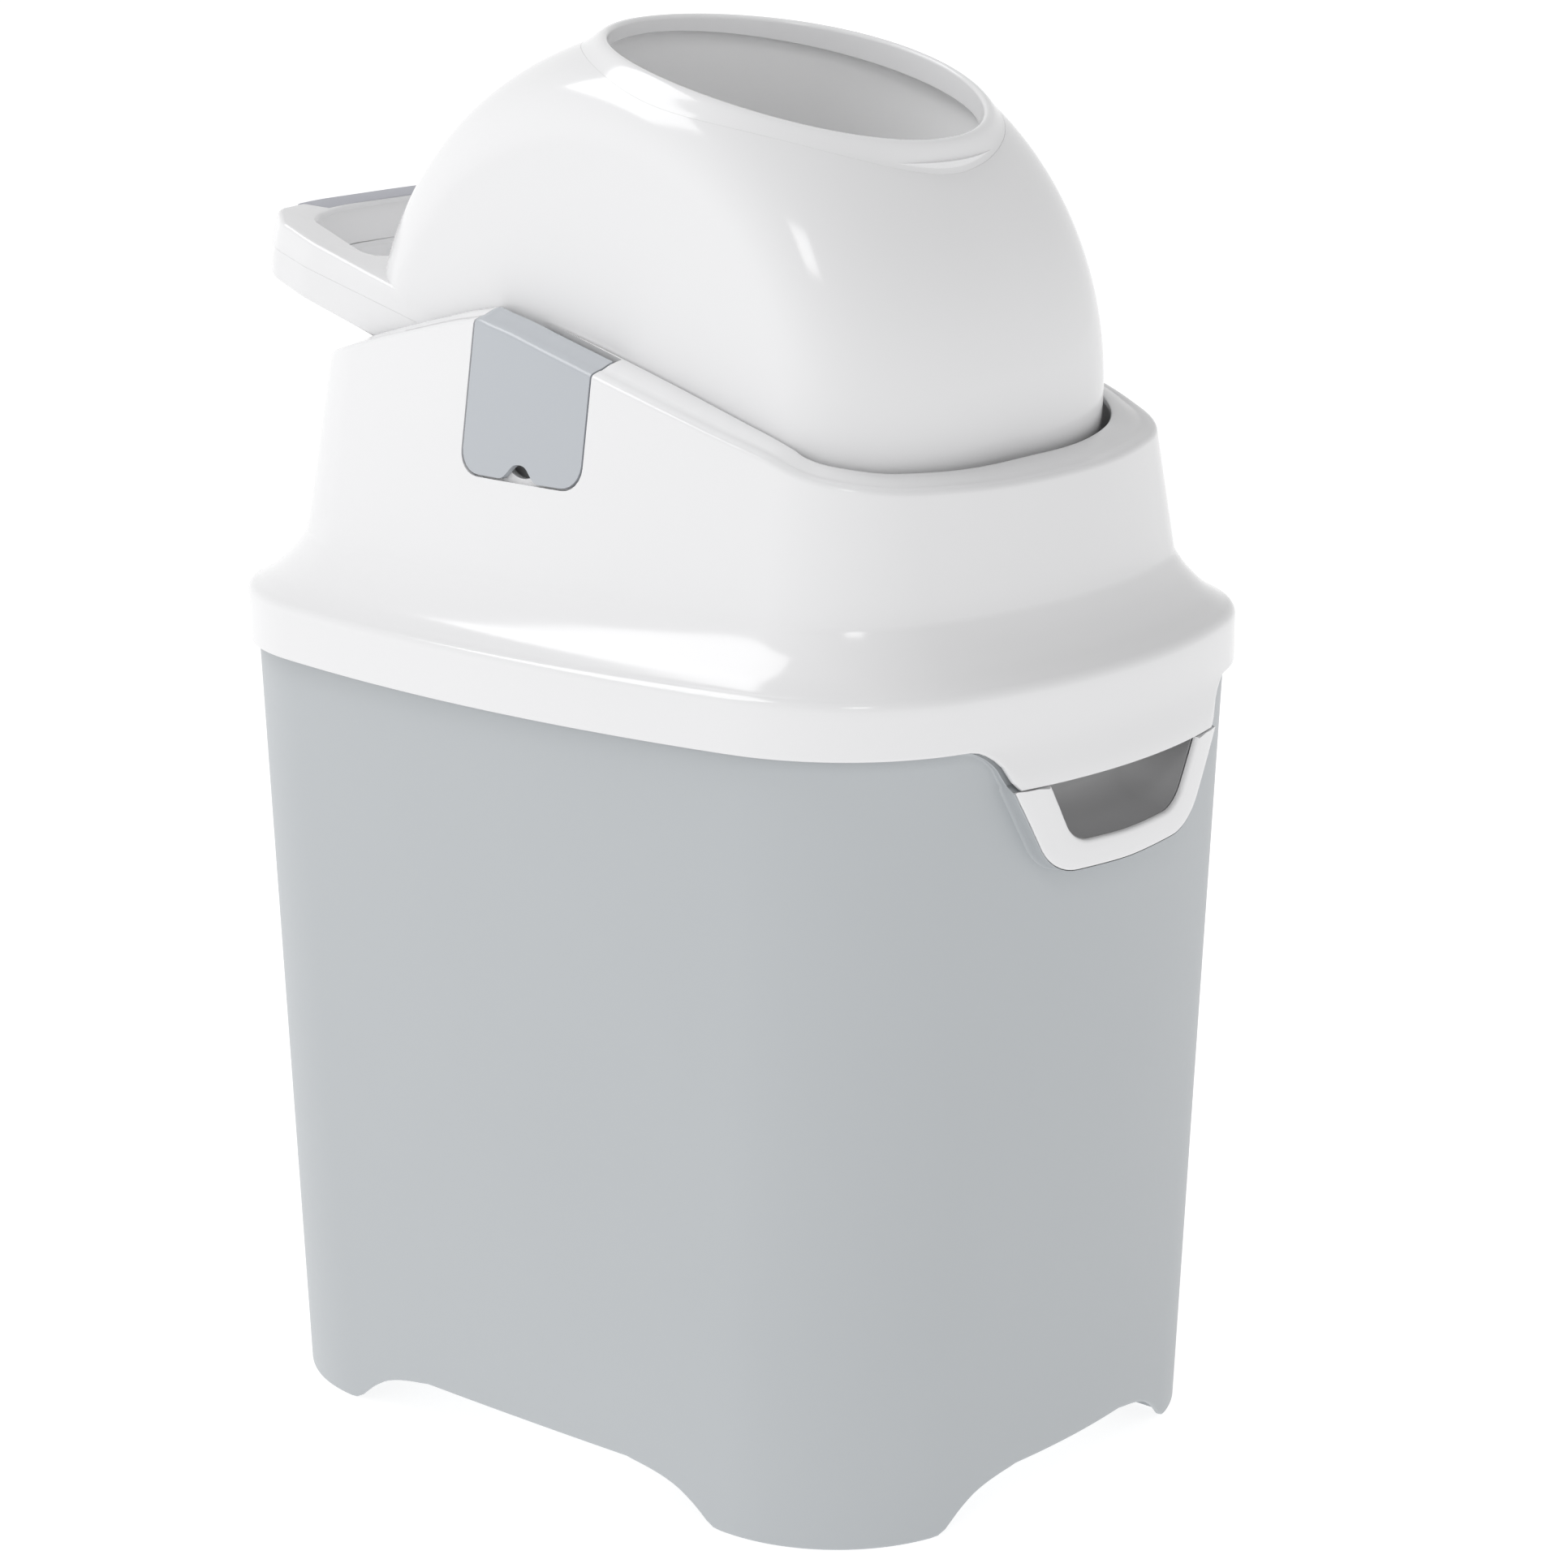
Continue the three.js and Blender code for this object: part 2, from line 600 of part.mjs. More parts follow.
// Solid form of the lid down to one skin depth: skirt, flare, neck and wavy rim
function lidForm(depth) {
  const flare = FLARE_SHARES.map(([run, up]) => lidRing(
    depth + FLARE_WIDTH * run, bandTopZ - depth + FLARE_HEIGHT * up));
  return loft([
    lidRing(depth - TAB_FLARE, depth > 0 ? tabZ - OVERRUN : tabZ),
    lidRing(depth - TAB_FLARE, tabZ),
    lidRing(depth, SKIRT_Z),
    ...flare,
    rimRing(depth, -depth),
    rimRing(RIM_WIDTH, RIM_RISE - depth),
    rimRing(RIM_SPAN, RIM_SPAN_RISE - depth),
  ].slice(depth > 0 ? 0 : 1));
}

const lidOuter = lidForm(0);
const insideCollar = loft([
  lidRing(neckInset(neckZ - OVERRUN) + RIM_WIDTH, neckZ - OVERRUN),
  rimRing(RIM_WIDTH, RIM_RISE + OVERRUN),
]);

// Everything below the skirt's edge, save the front tab between its two S-shaped ends
function skirtTrim() {
  const under = tabZ - 2 * OVERRUN;
  const spread = TAB_TOP_HALF - TAB_BOTTOM_HALF;
  const curve = TAB_SHARES.map(([run, up]) => [TAB_BOTTOM_HALF + spread * run, tabZ + TAB_DROP * up]);
  const side = [[TAB_BOTTOM_HALF, under], ...curve, [farOut, SKIRT_Z], [farOut, under]];
  const split = -(band.halfLength - band.corner);
  return join(
    box(-farOut, farOut, split, farOut, under, SKIRT_Z),
    prism(side, -farOut, split + OVERRUN, 'y'),
    prism(side.map(([u, v]) => [-u, v]).reverse(), -farOut, split + OVERRUN, 'y'),
  );
}

// Side clip's outline on the neck, as [y, z] points
function clipOutline(grow) {
  const low = pivotZ - CLIP_DROP - grow;
  const high = pivotZ + RIM_WAVE;
  return filleted([[CLIP_FRONT_Y - grow, high], [CLIP_FRONT_Y - grow, low, CLIP_CORNER],
    [CLIP_REAR_Y + grow, low, CLIP_CORNER], [CLIP_REAR_Y + grow, high]]);
}

function clipPrism(grow, side) {
  const inner = DRUM_HALF_WIDTH * side;
  const outer = band.halfWidth * side;
  return prism(clipOutline(grow), Math.min(inner, outer), Math.max(inner, outer), 'x');
}

// Places of the screws that hold the cradle: corner middles, front and rear
function screwPlaces() {
  const quarter = bandOutline.length / 4;
  const corner = SIDE_STEPS + Math.floor(CORNER_STEPS / 2);
  const right = [4 * quarter - corner, corner];
  const left = [2 * quarter - corner, 2 * quarter + corner];
  const picks = [...right, quarter, ...left, 3 * quarter];
  const inset = neckInset(collarZ) + (LID_WALL + RIM_WIDTH - COLLAR_WALL) / 2;
  const ring = lidRing(inset, collarZ);
  return picks.map((k) => ring[k]);
}

// Lid housing: skirt with tab, flared neck, wavy rim, collar, saddles and hinge lugs
function makeLidHousing() {
  const rimTop = pivotZ + RIM_WAVE;
  const collar = loft([
    lidRing(neckInset(collarZ) + RIM_WIDTH - COLLAR_WALL, collarZ),
    rimRing(RIM_WIDTH - COLLAR_WALL, RIM_RISE / 4),
  ]);
  const ribInset = SKIRT_STEP + GASKET_MARGIN;
  const ribZ = bucketTopZ + GASKET_HEIGHT + 2 * GAP;
  const rib = cut(
    lidLoft(ribInset, ribZ, bandTopZ + RIB_ROOT),
    lidLoft(ribInset + RIM_BEAD_WIDTH - 2 * GASKET_MARGIN, ribZ - OVERRUN, bandTopZ + RIB_ROOT + OVERRUN),
  );
  const added = [];
  const removed = [];
  const backing = lidForm(CLIP_WALL + GAP + CLIP_BACKING);
  const pocketFloor = lidForm(CLIP_WALL + GAP);
  for (const side of [-1, 1]) {
    const span = (near, far) => [Math.min(near * side, far * side), Math.max(near * side, far * side)];
    const wallX = band.halfWidth - neckInset(pivotZ) - LID_WALL;
    const saddle = box(...span(DRUM_HALF_WIDTH, wallX + LID_WALL / 2), PIVOT_Y - SADDLE_HALF_LENGTH,
      PIVOT_Y + SADDLE_HALF_LENGTH, pivotZ - SADDLE_DEPTH, pivotZ + SADDLE_HORN);
    const edge = CLIP_BACKING_EDGE;
    const pad = cut(
      box(...span(DRUM_HALF_WIDTH, band.halfWidth), CLIP_FRONT_Y - edge, CLIP_REAR_Y + edge,
        pivotZ - CLIP_DROP - edge, rimTop).intersect(lidOuter),
      backing);
    added.push(saddle.intersect(lidOuter), pad);
    const slotEnd = DRUM_HALF_WIDTH + JOURNAL_REACH + JOURNAL_CLEARANCE;
    const slotHalf = JOURNAL_RADIUS + JOURNAL_CLEARANCE;
    removed.push(
      clipPrism(GAP, side).subtract(pocketFloor),
      rod(slotHalf, ...span(DRUM_HALF_WIDTH, slotEnd), PIVOT_Y, pivotZ, TUBE_STEPS),
      box(...span(DRUM_HALF_WIDTH, slotEnd), PIVOT_Y - slotHalf, PIVOT_Y + slotHalf, pivotZ, rimTop),
    );
  }
  for (const [x, y] of screwPlaces()) {
    const holeTop = collarZ + SCREW_LENGTH;
    const boss = post(SCREW_BOSS_RADIUS, collarZ, holeTop + SCREW_BOSS_WALL, PIN_STEPS);
    const hole = post(SCREW_RADIUS + GAP, collarZ - OVERRUN, holeTop, PIN_STEPS);
    added.push(solid(boss.translate(x, y, 0)).intersect(lidOuter));
    removed.push(solid(hole.translate(x, y, 0)));
  }
  for (const side of [-1, 1]) {
    const x = side * HINGE_X;
    const inner = band.halfLength - LID_WALL;
    const top = bandTopZ - LID_WALL;
    const web = [[inner, SKIRT_Z], [hingeY - LUG_RADIUS, hingeZ], [hingeY + LUG_RADIUS, hingeZ],
      [inner + LID_WALL, top], [inner, top]];
    const lug = join(
      rod(LUG_RADIUS, x - LUG_WIDTH / 2, x + LUG_WIDTH / 2, hingeY, hingeZ),
      prism(web, x - LUG_WIDTH / 2, x + LUG_WIDTH / 2, 'x'),
    );
    added.push(lug);
    removed.push(rod(PIN_RADIUS + GAP, x - LUG_WIDTH, x + LUG_WIDTH, hingeY, hingeZ));
  }
  const underArm = HANDLE_THICKNESS / 2 + ARM_CLEARANCE;
  const armRoom = new THREE.BoxGeometry(2 * (DRUM_HALF_WIDTH + ARM_CLEARANCE), handleReach, RIM_WAVE);
  armRoom.translate(0, handleReach / 2, RIM_WAVE / 2 - underArm);
  armRoom.rotateX(DRUM_TILT).translate(0, PIVOT_Y, pivotZ);
  const shell = cut(lidOuter, lidForm(LID_WALL), skirtTrim());
  const collarWall = cut(collar.intersect(lidOuter), insideCollar);
  return cut(join(shell, collarWall, rib, ...added), drumRoom(DRUM_CLEARANCE), solid(armRoom), ...removed);
}

// Side clip: plate on the neck, bridge over the rim and a tongue above the journal
function makeClip(side) {
  const inner = DRUM_HALF_WIDTH + JOURNAL_REACH - TONGUE_WIDTH;
  const span = [inner * side, (inner + TONGUE_WIDTH) * side].sort((a, b) => a - b);
  const tongueHalf = JOURNAL_RADIUS;
  const tongue = box(...span, PIVOT_Y - tongueHalf, PIVOT_Y + tongueHalf,
    pivotZ + JOURNAL_RADIUS + JOURNAL_CLEARANCE, pivotZ + RIM_WAVE).intersect(lidForm(CLIP_WALL / 2));
  const middle = (CLIP_FRONT_Y + CLIP_REAR_Y) / 2;
  const notchZ = pivotZ - CLIP_DROP - CLIP_NOTCH_RADIUS + CLIP_NOTCH_DEPTH;
  const reach = [DRUM_HALF_WIDTH * side, band.halfWidth * side].sort((a, b) => a - b);
  const notch = rod(CLIP_NOTCH_RADIUS, ...reach, middle, notchZ, TUBE_STEPS);
  const plate = cut(clipPrism(0, side).intersect(lidOuter), lidForm(CLIP_WALL), insideCollar, notch);
  return join(plate, tongue);
}

// Drop hole swept by the tube's mouth in both of the drum's resting places
function dropHole(radius) {
  const shafts = [-DRUM_TILT, DRUM_TILT].map((tilt) => solid(
    post(radius, -DRUM_RADIUS - OVERRUN, 0).rotateX(tilt).translate(0, PIVOT_Y, pivotZ)));
  return join(...shafts);
}

// Cradle: bowl around the lower drum with a flange that screws under the collar
function makeCradle() {
  const top = collarZ - GAP;
  const bottom = top - CRADLE_WALL;
  const below = box(-farOut, farOut, -farOut, farOut, 0, top);
  const flange = lidLoft(neckInset(collarZ) + LID_WALL + GAP + GAP, bottom, top);
  const bowl = drumRoom(cradleClearance + CRADLE_WALL).intersect(below);
  const holes = screwPlaces().map(([x, y]) => solid(
    post(SCREW_RADIUS + GAP, bottom - OVERRUN, top + OVERRUN, PIN_STEPS).translate(x, y, 0)));
  return cut(join(flange, bowl), drumRoom(cradleClearance), dropHole(dropRadius), ...holes);
}

function makeDrumSeal() {
  const strip = cut(drumRoom(cradleClearance - GAP), drumRoom(DRUM_CLEARANCE));
  const lower = box(-farOut, farOut, -farOut, farOut, 0, collarZ - GAP - CRADLE_WALL);
  return cut(strip.intersect(dropHole(dropRadius + SEAL_WIDTH)).intersect(lower), dropHole(dropRadius + GAP));
}

function makeScrew([x, y]) {
  const under = collarZ - GAP - CRADLE_WALL - GAP;
  const head = under - SCREW_HEAD_HEIGHT;
  const tip = collarZ + SCREW_LENGTH - GAP;
  const profile = [[0, head], [SCREW_HEAD_RADIUS, head], [SCREW_HEAD_RADIUS, under], [SCREW_RADIUS, under],
    [SCREW_RADIUS, tip], [0, tip]];
  return solid(turned(profile, PIN_STEPS).translate(x, y, 0));
}

function makeGasket() {
  const low = bucketTopZ + GAP;
  const inset = SKIRT_STEP + GASKET_MARGIN;
  return cut(
    lidLoft(inset, low, low + GASKET_HEIGHT),
    lidLoft(inset + RIM_BEAD_WIDTH - 2 * GASKET_MARGIN, low - OVERRUN, low + GASKET_HEIGHT + OVERRUN),
  );
}

function makeHingePin(side) {
  const half = LUG_WIDTH / 2 + LUG_GAP + EAR_WALL;
  const x = side * HINGE_X;
  return join(
    rod(PIN_RADIUS, x - half - GAP - PIN_HEAD_HEIGHT, x + half, hingeY, hingeZ),
    rod(PIN_HEAD_RADIUS, x - half - GAP - PIN_HEAD_HEIGHT, x - half - GAP, hingeY, hingeZ),
  );
}

// Handle loop seen from above the drum, as [x, y] points; grow widens it all round
function handleOuter(grow) {
  const wide = DRUM_HALF_WIDTH + grow;
  const end = wide - HANDLE_TAPER;
  const far = handleReach + grow;
  const corner = HANDLE_CORNER + grow;
  return filleted([[wide, 0], [wide, armStraight], [end, far, corner], [-end, far, corner],
    [-wide, armStraight], [-wide, 0]]);
}

function handleOpening(grow, near) {
  const wide = DRUM_HALF_WIDTH - ARM_WIDTH + grow;
  const far = handleReach - CROSSBAR_WIDTH + grow;
  return filleted([[wide, near], [wide, armStraight], [wide - HANDLE_TAPER / 2, far, OPENING_CORNER + grow],
    [-wide + HANDLE_TAPER / 2, far, OPENING_CORNER + grow], [-wide, armStraight], [-wide, near]]);
}

const handleHalf = HANDLE_THICKNESS / 2;
const handlePlate = cut(
  prism(handleOuter(0), -handleHalf, handleHalf, 'z'),
  prism(handleOpening(0, -OVERRUN), -handleHalf - OVERRUN, handleHalf + OVERRUN, 'z'),
);

// Region that the soft grip pad takes on the crossbar's outer edge
function padRegion(gap) {
  const near = handleReach - GRIP_PAD_LEG - gap;
  const core = handleReach - GRIP_PAD_WALL - gap;
  const coreHalf = handleHalf - GRIP_PAD_WALL - gap;
  const half = gripPadHalf + gap;
  return cut(
    box(-half, half, near, handleReach + OVERRUN, -handleHalf - OVERRUN, handleHalf + OVERRUN),
    box(-half - OVERRUN, half + OVERRUN, near - OVERRUN, core, -coreHalf, coreHalf),
  );
}

// Drum skin with its handle, cut in two along the plane through the pivot
function makeDrumShells() {
  const outer = solid(drumBody(0));
  const between = (height) => box(-DRUM_RADIUS, DRUM_RADIUS, -DRUM_RADIUS, DRUM_RADIUS, -height, height);
  const inner = solid(drumBody(-DRUM_WALL)).intersect(between(mouthPlane - DRUM_WALL));
  const channelHalf = handleHalf - HANDLE_WALL;
  const channelFar = handleReach - GRIP_PAD_LEG - HANDLE_WALL;
  const padHalf = gripPadHalf + HANDLE_WALL;
  const channel = cut(
    prism(handleOuter(-HANDLE_WALL), -channelHalf, channelHalf, 'z'),
    prism(handleOpening(HANDLE_WALL, -OVERRUN), -channelHalf - OVERRUN, channelHalf + OVERRUN, 'z'),
    box(-padHalf, padHalf, channelFar, handleReach + OVERRUN, -handleHalf, handleHalf),
    outer,
  );
  const mouth = solid(post(lipOuterRadius + GAP, -DRUM_RADIUS - OVERRUN, DRUM_RADIUS + OVERRUN));
  const journalHoles = rod(JOURNAL_RADIUS + GAP, -farOut, farOut, 0, 0, TUBE_STEPS);
  const skin = cut(join(outer, handlePlate), inner, mouth, journalHoles, channel, padRegion(GAP));
  const cap = farOut + handleReach;
  const upper = box(-cap, cap, -cap, cap, GAP / 2, cap);
  const lower = box(-cap, cap, -cap, cap, -cap, -GAP / 2);
  return [skin.intersect(upper), skin.intersect(lower)];
}

function makeTube() {
  return cut(
    solid(post(tubeRadius, -tubeHalf, tubeHalf)),
    solid(post(tubeBore, -tubeHalf - OVERRUN, tubeHalf + OVERRUN)),
  );
}

// Lip ring around one end of the tube: saddle-shaped crest outside, throat and skirt inside
function makeLip(way) {
  const low = mouthPlane - DRUM_WALL + GAP;
  const throat = tubeHalf + GAP;
  const skirt = lipOuterRadius - LIP_SKIRT;
  const sections = [];
  for (let k = 0; k < TUBE_STEPS; k += 1) {
    const turn = 2 * Math.PI * k / TUBE_STEPS;
    const edge = drumHeight(lipOuterRadius * Math.cos(turn), lipOuterRadius * Math.sin(turn));
    const crest = crestReach + LIP_SADDLE * Math.cos(2 * turn);
    const slope = LIP_SHARES.map(([run, up]) => [
      lipOuterRadius - (lipOuterRadius - lipCrestRadius) * run, edge + (crest - edge) * up]);
    const section = [[lipOuterRadius, low], ...slope, [lipInnerRadius, crest - LIP_ROUND],
      [lipInnerRadius, throat], [skirt, throat], [skirt, low]];
    sections.push(section.map(([r, z]) => [r * Math.cos(turn), r * Math.sin(turn) * way, z * way]));
  }
  return hoop(sections);
}

// Journal with a flange held between the drum's two shells
function makeJournal(side) {
  const skin = DRUM_HALF_WIDTH - DRUM_WALL - GAP;
  const parts = [
    [JOURNAL_FLANGE_RADIUS, skin - JOURNAL_FLANGE_WALL, skin],
    [JOURNAL_RADIUS, skin - JOURNAL_FLANGE_WALL, DRUM_HALF_WIDTH + JOURNAL_REACH],
  ];
  return join(...parts.map(([radius, x0, x1]) => rod(
    radius, Math.min(x0 * side, x1 * side), Math.max(x0 * side, x1 * side), 0, 0, TUBE_STEPS)));
}

// Piston: two cups that meet half way up, each with a sealing ring in a groove
const pistonLow = -tubeHalf;
const pistonRadius = tubeBore - PISTON_CLEARANCE;
const pistonMiddle = pistonLow + PISTON_HEIGHT / 2;

function makePistonCup(way) {
  const half = PISTON_HEIGHT / 2;
  const seal = half - PISTON_SEAL_MARGIN;
  const weightFace = WEIGHT_HEIGHT / 2 + GAP;
  const groove = pistonRadius - PISTON_SEAL_DEPTH;
  const grooveLow = seal - PISTON_SEAL_HEIGHT;
  const hollow = groove - PISTON_WALL;
  const under = half - PISTON_WALL;
  const profile = [
    [0, half], [pistonRadius, half], [pistonRadius, seal], [groove, seal], [groove, grooveLow],
    [pistonRadius, grooveLow], [pistonRadius, GAP / 2], [hollow, GAP / 2], [hollow, under],
    [PISTON_POST_RADIUS, under], [PISTON_POST_RADIUS, weightFace], [0, weightFace],
  ];
  return solid(turned(profile.map(([r, z]) => [r, pistonMiddle + z * way]), TUBE_STEPS));
}

function makePistonSeal(way) {
  const top = PISTON_HEIGHT / 2 - PISTON_SEAL_MARGIN - GAP;
  const bottom = top - PISTON_SEAL_HEIGHT + 2 * GAP;
  const inner = pistonRadius - PISTON_SEAL_DEPTH + GAP;
  const outer = tubeBore - GAP;
  const profile = [[inner, bottom], [outer, bottom], [outer, top], [inner, top], [inner, bottom]];
  return solid(turned(profile.map(([r, z]) => [r, pistonMiddle + z * way]), TUBE_STEPS));
}

// Steel disc held between the posts of the two cups
function makePistonWeight() {
  return solid(post(WEIGHT_RADIUS, pistonMiddle - WEIGHT_HEIGHT / 2, pistonMiddle + WEIGHT_HEIGHT / 2));
}

addPart(bin, 'bucket', makeBucket(), grey);
addPart(bin, 'grip_insert', makeGripInsert(), white);
addPart(bin, 'lid_housing', makeLidHousing(), white);
addPart(bin, 'drum_cradle', makeCradle(), white);
addPart(bin, 'drum_seal', makeDrumSeal(), sealGrey);
addPart(bin, 'lid_gasket', makeGasket(), sealGrey);
screwPlaces().forEach((place, i) => addPart(bin, `cradle_screw_${i + 1}`, makeScrew(place), steel));

for (const [side, label] of [[-1, 'left'], [1, 'right']]) {
  addPart(bin, `hinge_pin_${label}`, makeHingePin(side), steel);
  addPart(bin, `side_clip_${label}`, makeClip(side), clipGrey);
  addPart(drum, `journal_${label}`, makeJournal(side), clipGrey);
}

const [shellUpper, shellLower] = makeDrumShells();
addPart(drum, 'drum_shell_upper', shellUpper, white);
addPart(drum, 'drum_shell_lower', shellLower, white);
addPart(drum, 'handle_grip', handlePlate.intersect(padRegion(0)), clipGrey);
addPart(drum, 'drum_tube', makeTube(), innerGrey);
addPart(drum, 'piston_weight', makePistonWeight(), steel);
for (const [way, label] of [[1, 'upper'], [-1, 'lower']]) {
  addPart(drum, `mouth_lip_${label}`, makeLip(way), white);
  addPart(drum, `piston_cup_${label}`, makePistonCup(way), innerGrey);
  addPart(drum, `piston_seal_${label}`, makePistonSeal(way), sealGrey);
}

// The origin lies under the middle of the whole bin, from the tab to the hinge
const frontReach = band.halfLength + TAB_FLARE;
const rearReach = hingeY + EAR_RADIUS;
bin.position.y = (frontReach - rearReach) / 2;

export default bin;
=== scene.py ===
import math

import bmesh
import bpy
from mathutils import Matrix, Vector
from mathutils.bvhtree import BVHTree


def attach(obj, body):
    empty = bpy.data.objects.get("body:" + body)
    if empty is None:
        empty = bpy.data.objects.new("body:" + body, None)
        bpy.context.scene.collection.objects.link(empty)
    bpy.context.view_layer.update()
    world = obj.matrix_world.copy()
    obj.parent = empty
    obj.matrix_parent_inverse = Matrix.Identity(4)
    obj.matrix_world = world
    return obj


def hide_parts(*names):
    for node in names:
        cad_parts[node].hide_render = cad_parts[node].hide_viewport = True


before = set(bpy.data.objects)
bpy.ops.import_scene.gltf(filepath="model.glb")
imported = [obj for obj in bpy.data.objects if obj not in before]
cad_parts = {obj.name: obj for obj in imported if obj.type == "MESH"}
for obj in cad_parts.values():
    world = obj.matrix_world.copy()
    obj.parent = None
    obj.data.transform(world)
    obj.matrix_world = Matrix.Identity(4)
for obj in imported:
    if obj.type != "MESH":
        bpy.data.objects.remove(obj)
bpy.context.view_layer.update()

# Bucket: a tall drafted tub on four corner feet, injection moulded in satin polypropylene.
# Its rim thickens to a bead, a boss in front carries the grip, and two pairs of ears hold the hinge's pins.
# Sizes are in millimetres from a point on the floor under the bin. BIN_PLACE brings them to metres.
MILLIMETRE = 0.001
MODEL_Y = -5.2
BIN_PLACE = Matrix.Translation((0, MODEL_Y * MILLIMETRE, 0)) @ Matrix.Scale(MILLIMETRE, 4)
MERGE_GAP = 0.0005
CREASE = math.radians(32)
BAND_HALF_WIDTH = 141.3
BAND_HALF_LENGTH = 185.2
BAND_CORNER = 78.6
SIDE_BULGE = 7.9
END_BULGE = 9.2
SKIRT_Z = 300
TAB_Z = 283.9
TAB_DROP = 16.1
TAB_HALF_WIDTH = 57.5
TAB_RUN = 20.5
TUB_GAP = 4.1
TUB_WALL = 2.4
TUB_TOP_Z = 308
BEAD_Z = 306.8
FLOOR_Z = 24.3
FLOOR_UNDER_Z = 21.8
FOOT_ROUND = 1.4
ARCH_HEIGHT = 17.6
SIDE_ARCH_Y = 3
SIDE_ARCH_END = 97
SIDE_ARCH_RUN = 46
FRONT_ARCH_END = 74
FRONT_ARCH_RUN = 42
SOLE_X = 75
SOLE_Y = 98
SOLE_INSET = 1.2
SOLE_LOW_Z = 0.02
SOLE_TOP_Z = 2.5
HINGE_X = 34
HINGE_Y = 191
HINGE_Z = 291
EAR_SPACING = 9
EAR_THICKNESS = 4
EAR_RADIUS = 7


def plan_outline(half_width, half_length, corner, side_bulge, end_bulge):
    """Points and outward directions round a rounded rectangle whose sides bulge as arcs."""
    core_x = half_width - side_bulge - corner
    core_y = half_length - end_bulge - corner
    side_radius = (core_y**2 + side_bulge**2) / (2 * side_bulge)
    end_radius = (core_x**2 + end_bulge**2) / (2 * end_bulge)
    to_corner = math.asin(core_y / side_radius)
    to_end = math.pi / 2 - math.asin(core_x / end_radius)
    side_steps, corner_steps, end_steps = 30, 28, 24
    arcs = [
        (core_x + side_bulge - side_radius, 0, side_radius, 0, to_corner, side_steps),
        (core_x, core_y, 0, to_corner, to_end, corner_steps),
        (0, core_y + end_bulge - end_radius, end_radius, to_end, math.pi / 2, end_steps),
    ]
    quarter = []
    for x, y, radius, start, end, steps in arcs:
        for i in range(steps):
            turn = start + (end - start) * i / steps
            out = Vector((math.cos(turn), math.sin(turn)))
            quarter.append((Vector((x, y)) + out * (radius + corner), out))
    tip = (Vector((0, half_length)), Vector((0, 1)))
    second = [(Vector((-p.x, p.y)), Vector((-n.x, n.y))) for p, n in [tip] + quarter[:0:-1]]
    front = [(-p, -n) for p, n in quarter + second]
    return quarter + second + front


def eased(shares, run):
    """Smooth curve through a table of shares, without overshoot."""
    if run <= shares[0][0]:
        return shares[0][1]
    if run >= shares[-1][0]:
        return shares[-1][1]
    slopes = [(b[1] - a[1]) / (b[0] - a[0]) for a, b in zip(shares, shares[1:])]
    bends = [0.0]
    for before, after in zip(slopes, slopes[1:]):
        bends.append(2 * before * after / (before + after) if before * after > 0 else 0.0)
    bends.append(0.0)
    k = next(i for i, point in enumerate(shares) if point[0] > run) - 1
    (s0, h0), (s1, h1) = shares[k], shares[k + 1]
    span = s1 - s0
    t = (run - s0) / span
    return (
        h0 * (1 + 2 * t) * (1 - t) ** 2
        + h1 * t * t * (3 - 2 * t)
        + span * (bends[k] * t * (1 - t) ** 2 + bends[k + 1] * t * t * (t - 1))
    )


def raise_wall(bm, rows, closed=True, join_ends=False):
    """Wall extruded row by row from a ring or a chain of edges, each row moved to its own points."""
    count = len(rows[0])
    first = [bm.verts.new(point) for point in rows[0]]
    pairs = [(k, (k + 1) % count) for k in range(count if closed else count - 1)]
    for a, b in pairs:
        bm.edges.new((first[a], first[b]))
    ring = first
    for row in rows[1:]:
        edges = [bm.edges.get((ring[a], ring[b])) for a, b in pairs]
        grown = bmesh.ops.extrude_edge_only(bm, edges=edges)["geom"]
        fresh = {item for item in grown if isinstance(item, bmesh.types.BMVert)}
        ring = [
            next(edge.other_vert(vert) for edge in vert.link_edges if edge.other_vert(vert) in fresh)
            for vert in ring
        ]
        for vert, point in zip(ring, row):
            vert.co = point
    if join_ends:
        loops = [bm.edges.get((chain[a], chain[b])) for chain in (first, ring) for a, b in pairs]
        bmesh.ops.bridge_loops(bm, edges=loops)
    return first, ring


def cap(bm, ring):
    """Flat face over a ring of corners."""
    bmesh.ops.contextual_create(bm, geom=ring)


def prism(bm, x, shape, run):
    """Closed block along x, from an outline in y and z to its copy at a distance."""
    ring = [Vector((x, p.x, p.y)) for p in shape]
    for end in raise_wall(bm, [ring, [p + Vector((run, 0, 0)) for p in ring]]):
        cap(bm, end)


def smooth(mesh):
    """Smooth shading but for edges sharper than the crease."""
    mesh.polygons.foreach_set("use_smooth", [True] * len(mesh.polygons))
    mesh.set_sharp_from_angle(angle=CREASE)


def finish_piece(name, bm, place):
    """Closed mesh in its place as an object, shaded smooth."""
    bmesh.ops.remove_doubles(bm, verts=bm.verts, dist=MERGE_GAP)
    bmesh.ops.recalc_face_normals(bm, faces=bm.faces)
    bmesh.ops.transform(bm, matrix=place, verts=bm.verts)
    mesh = bpy.data.meshes.new(name)
    bm.to_mesh(mesh)
    bm.free()
    smooth(mesh)
    piece = bpy.data.objects.new(name, mesh)
    bpy.context.scene.collection.objects.link(piece)
    return piece


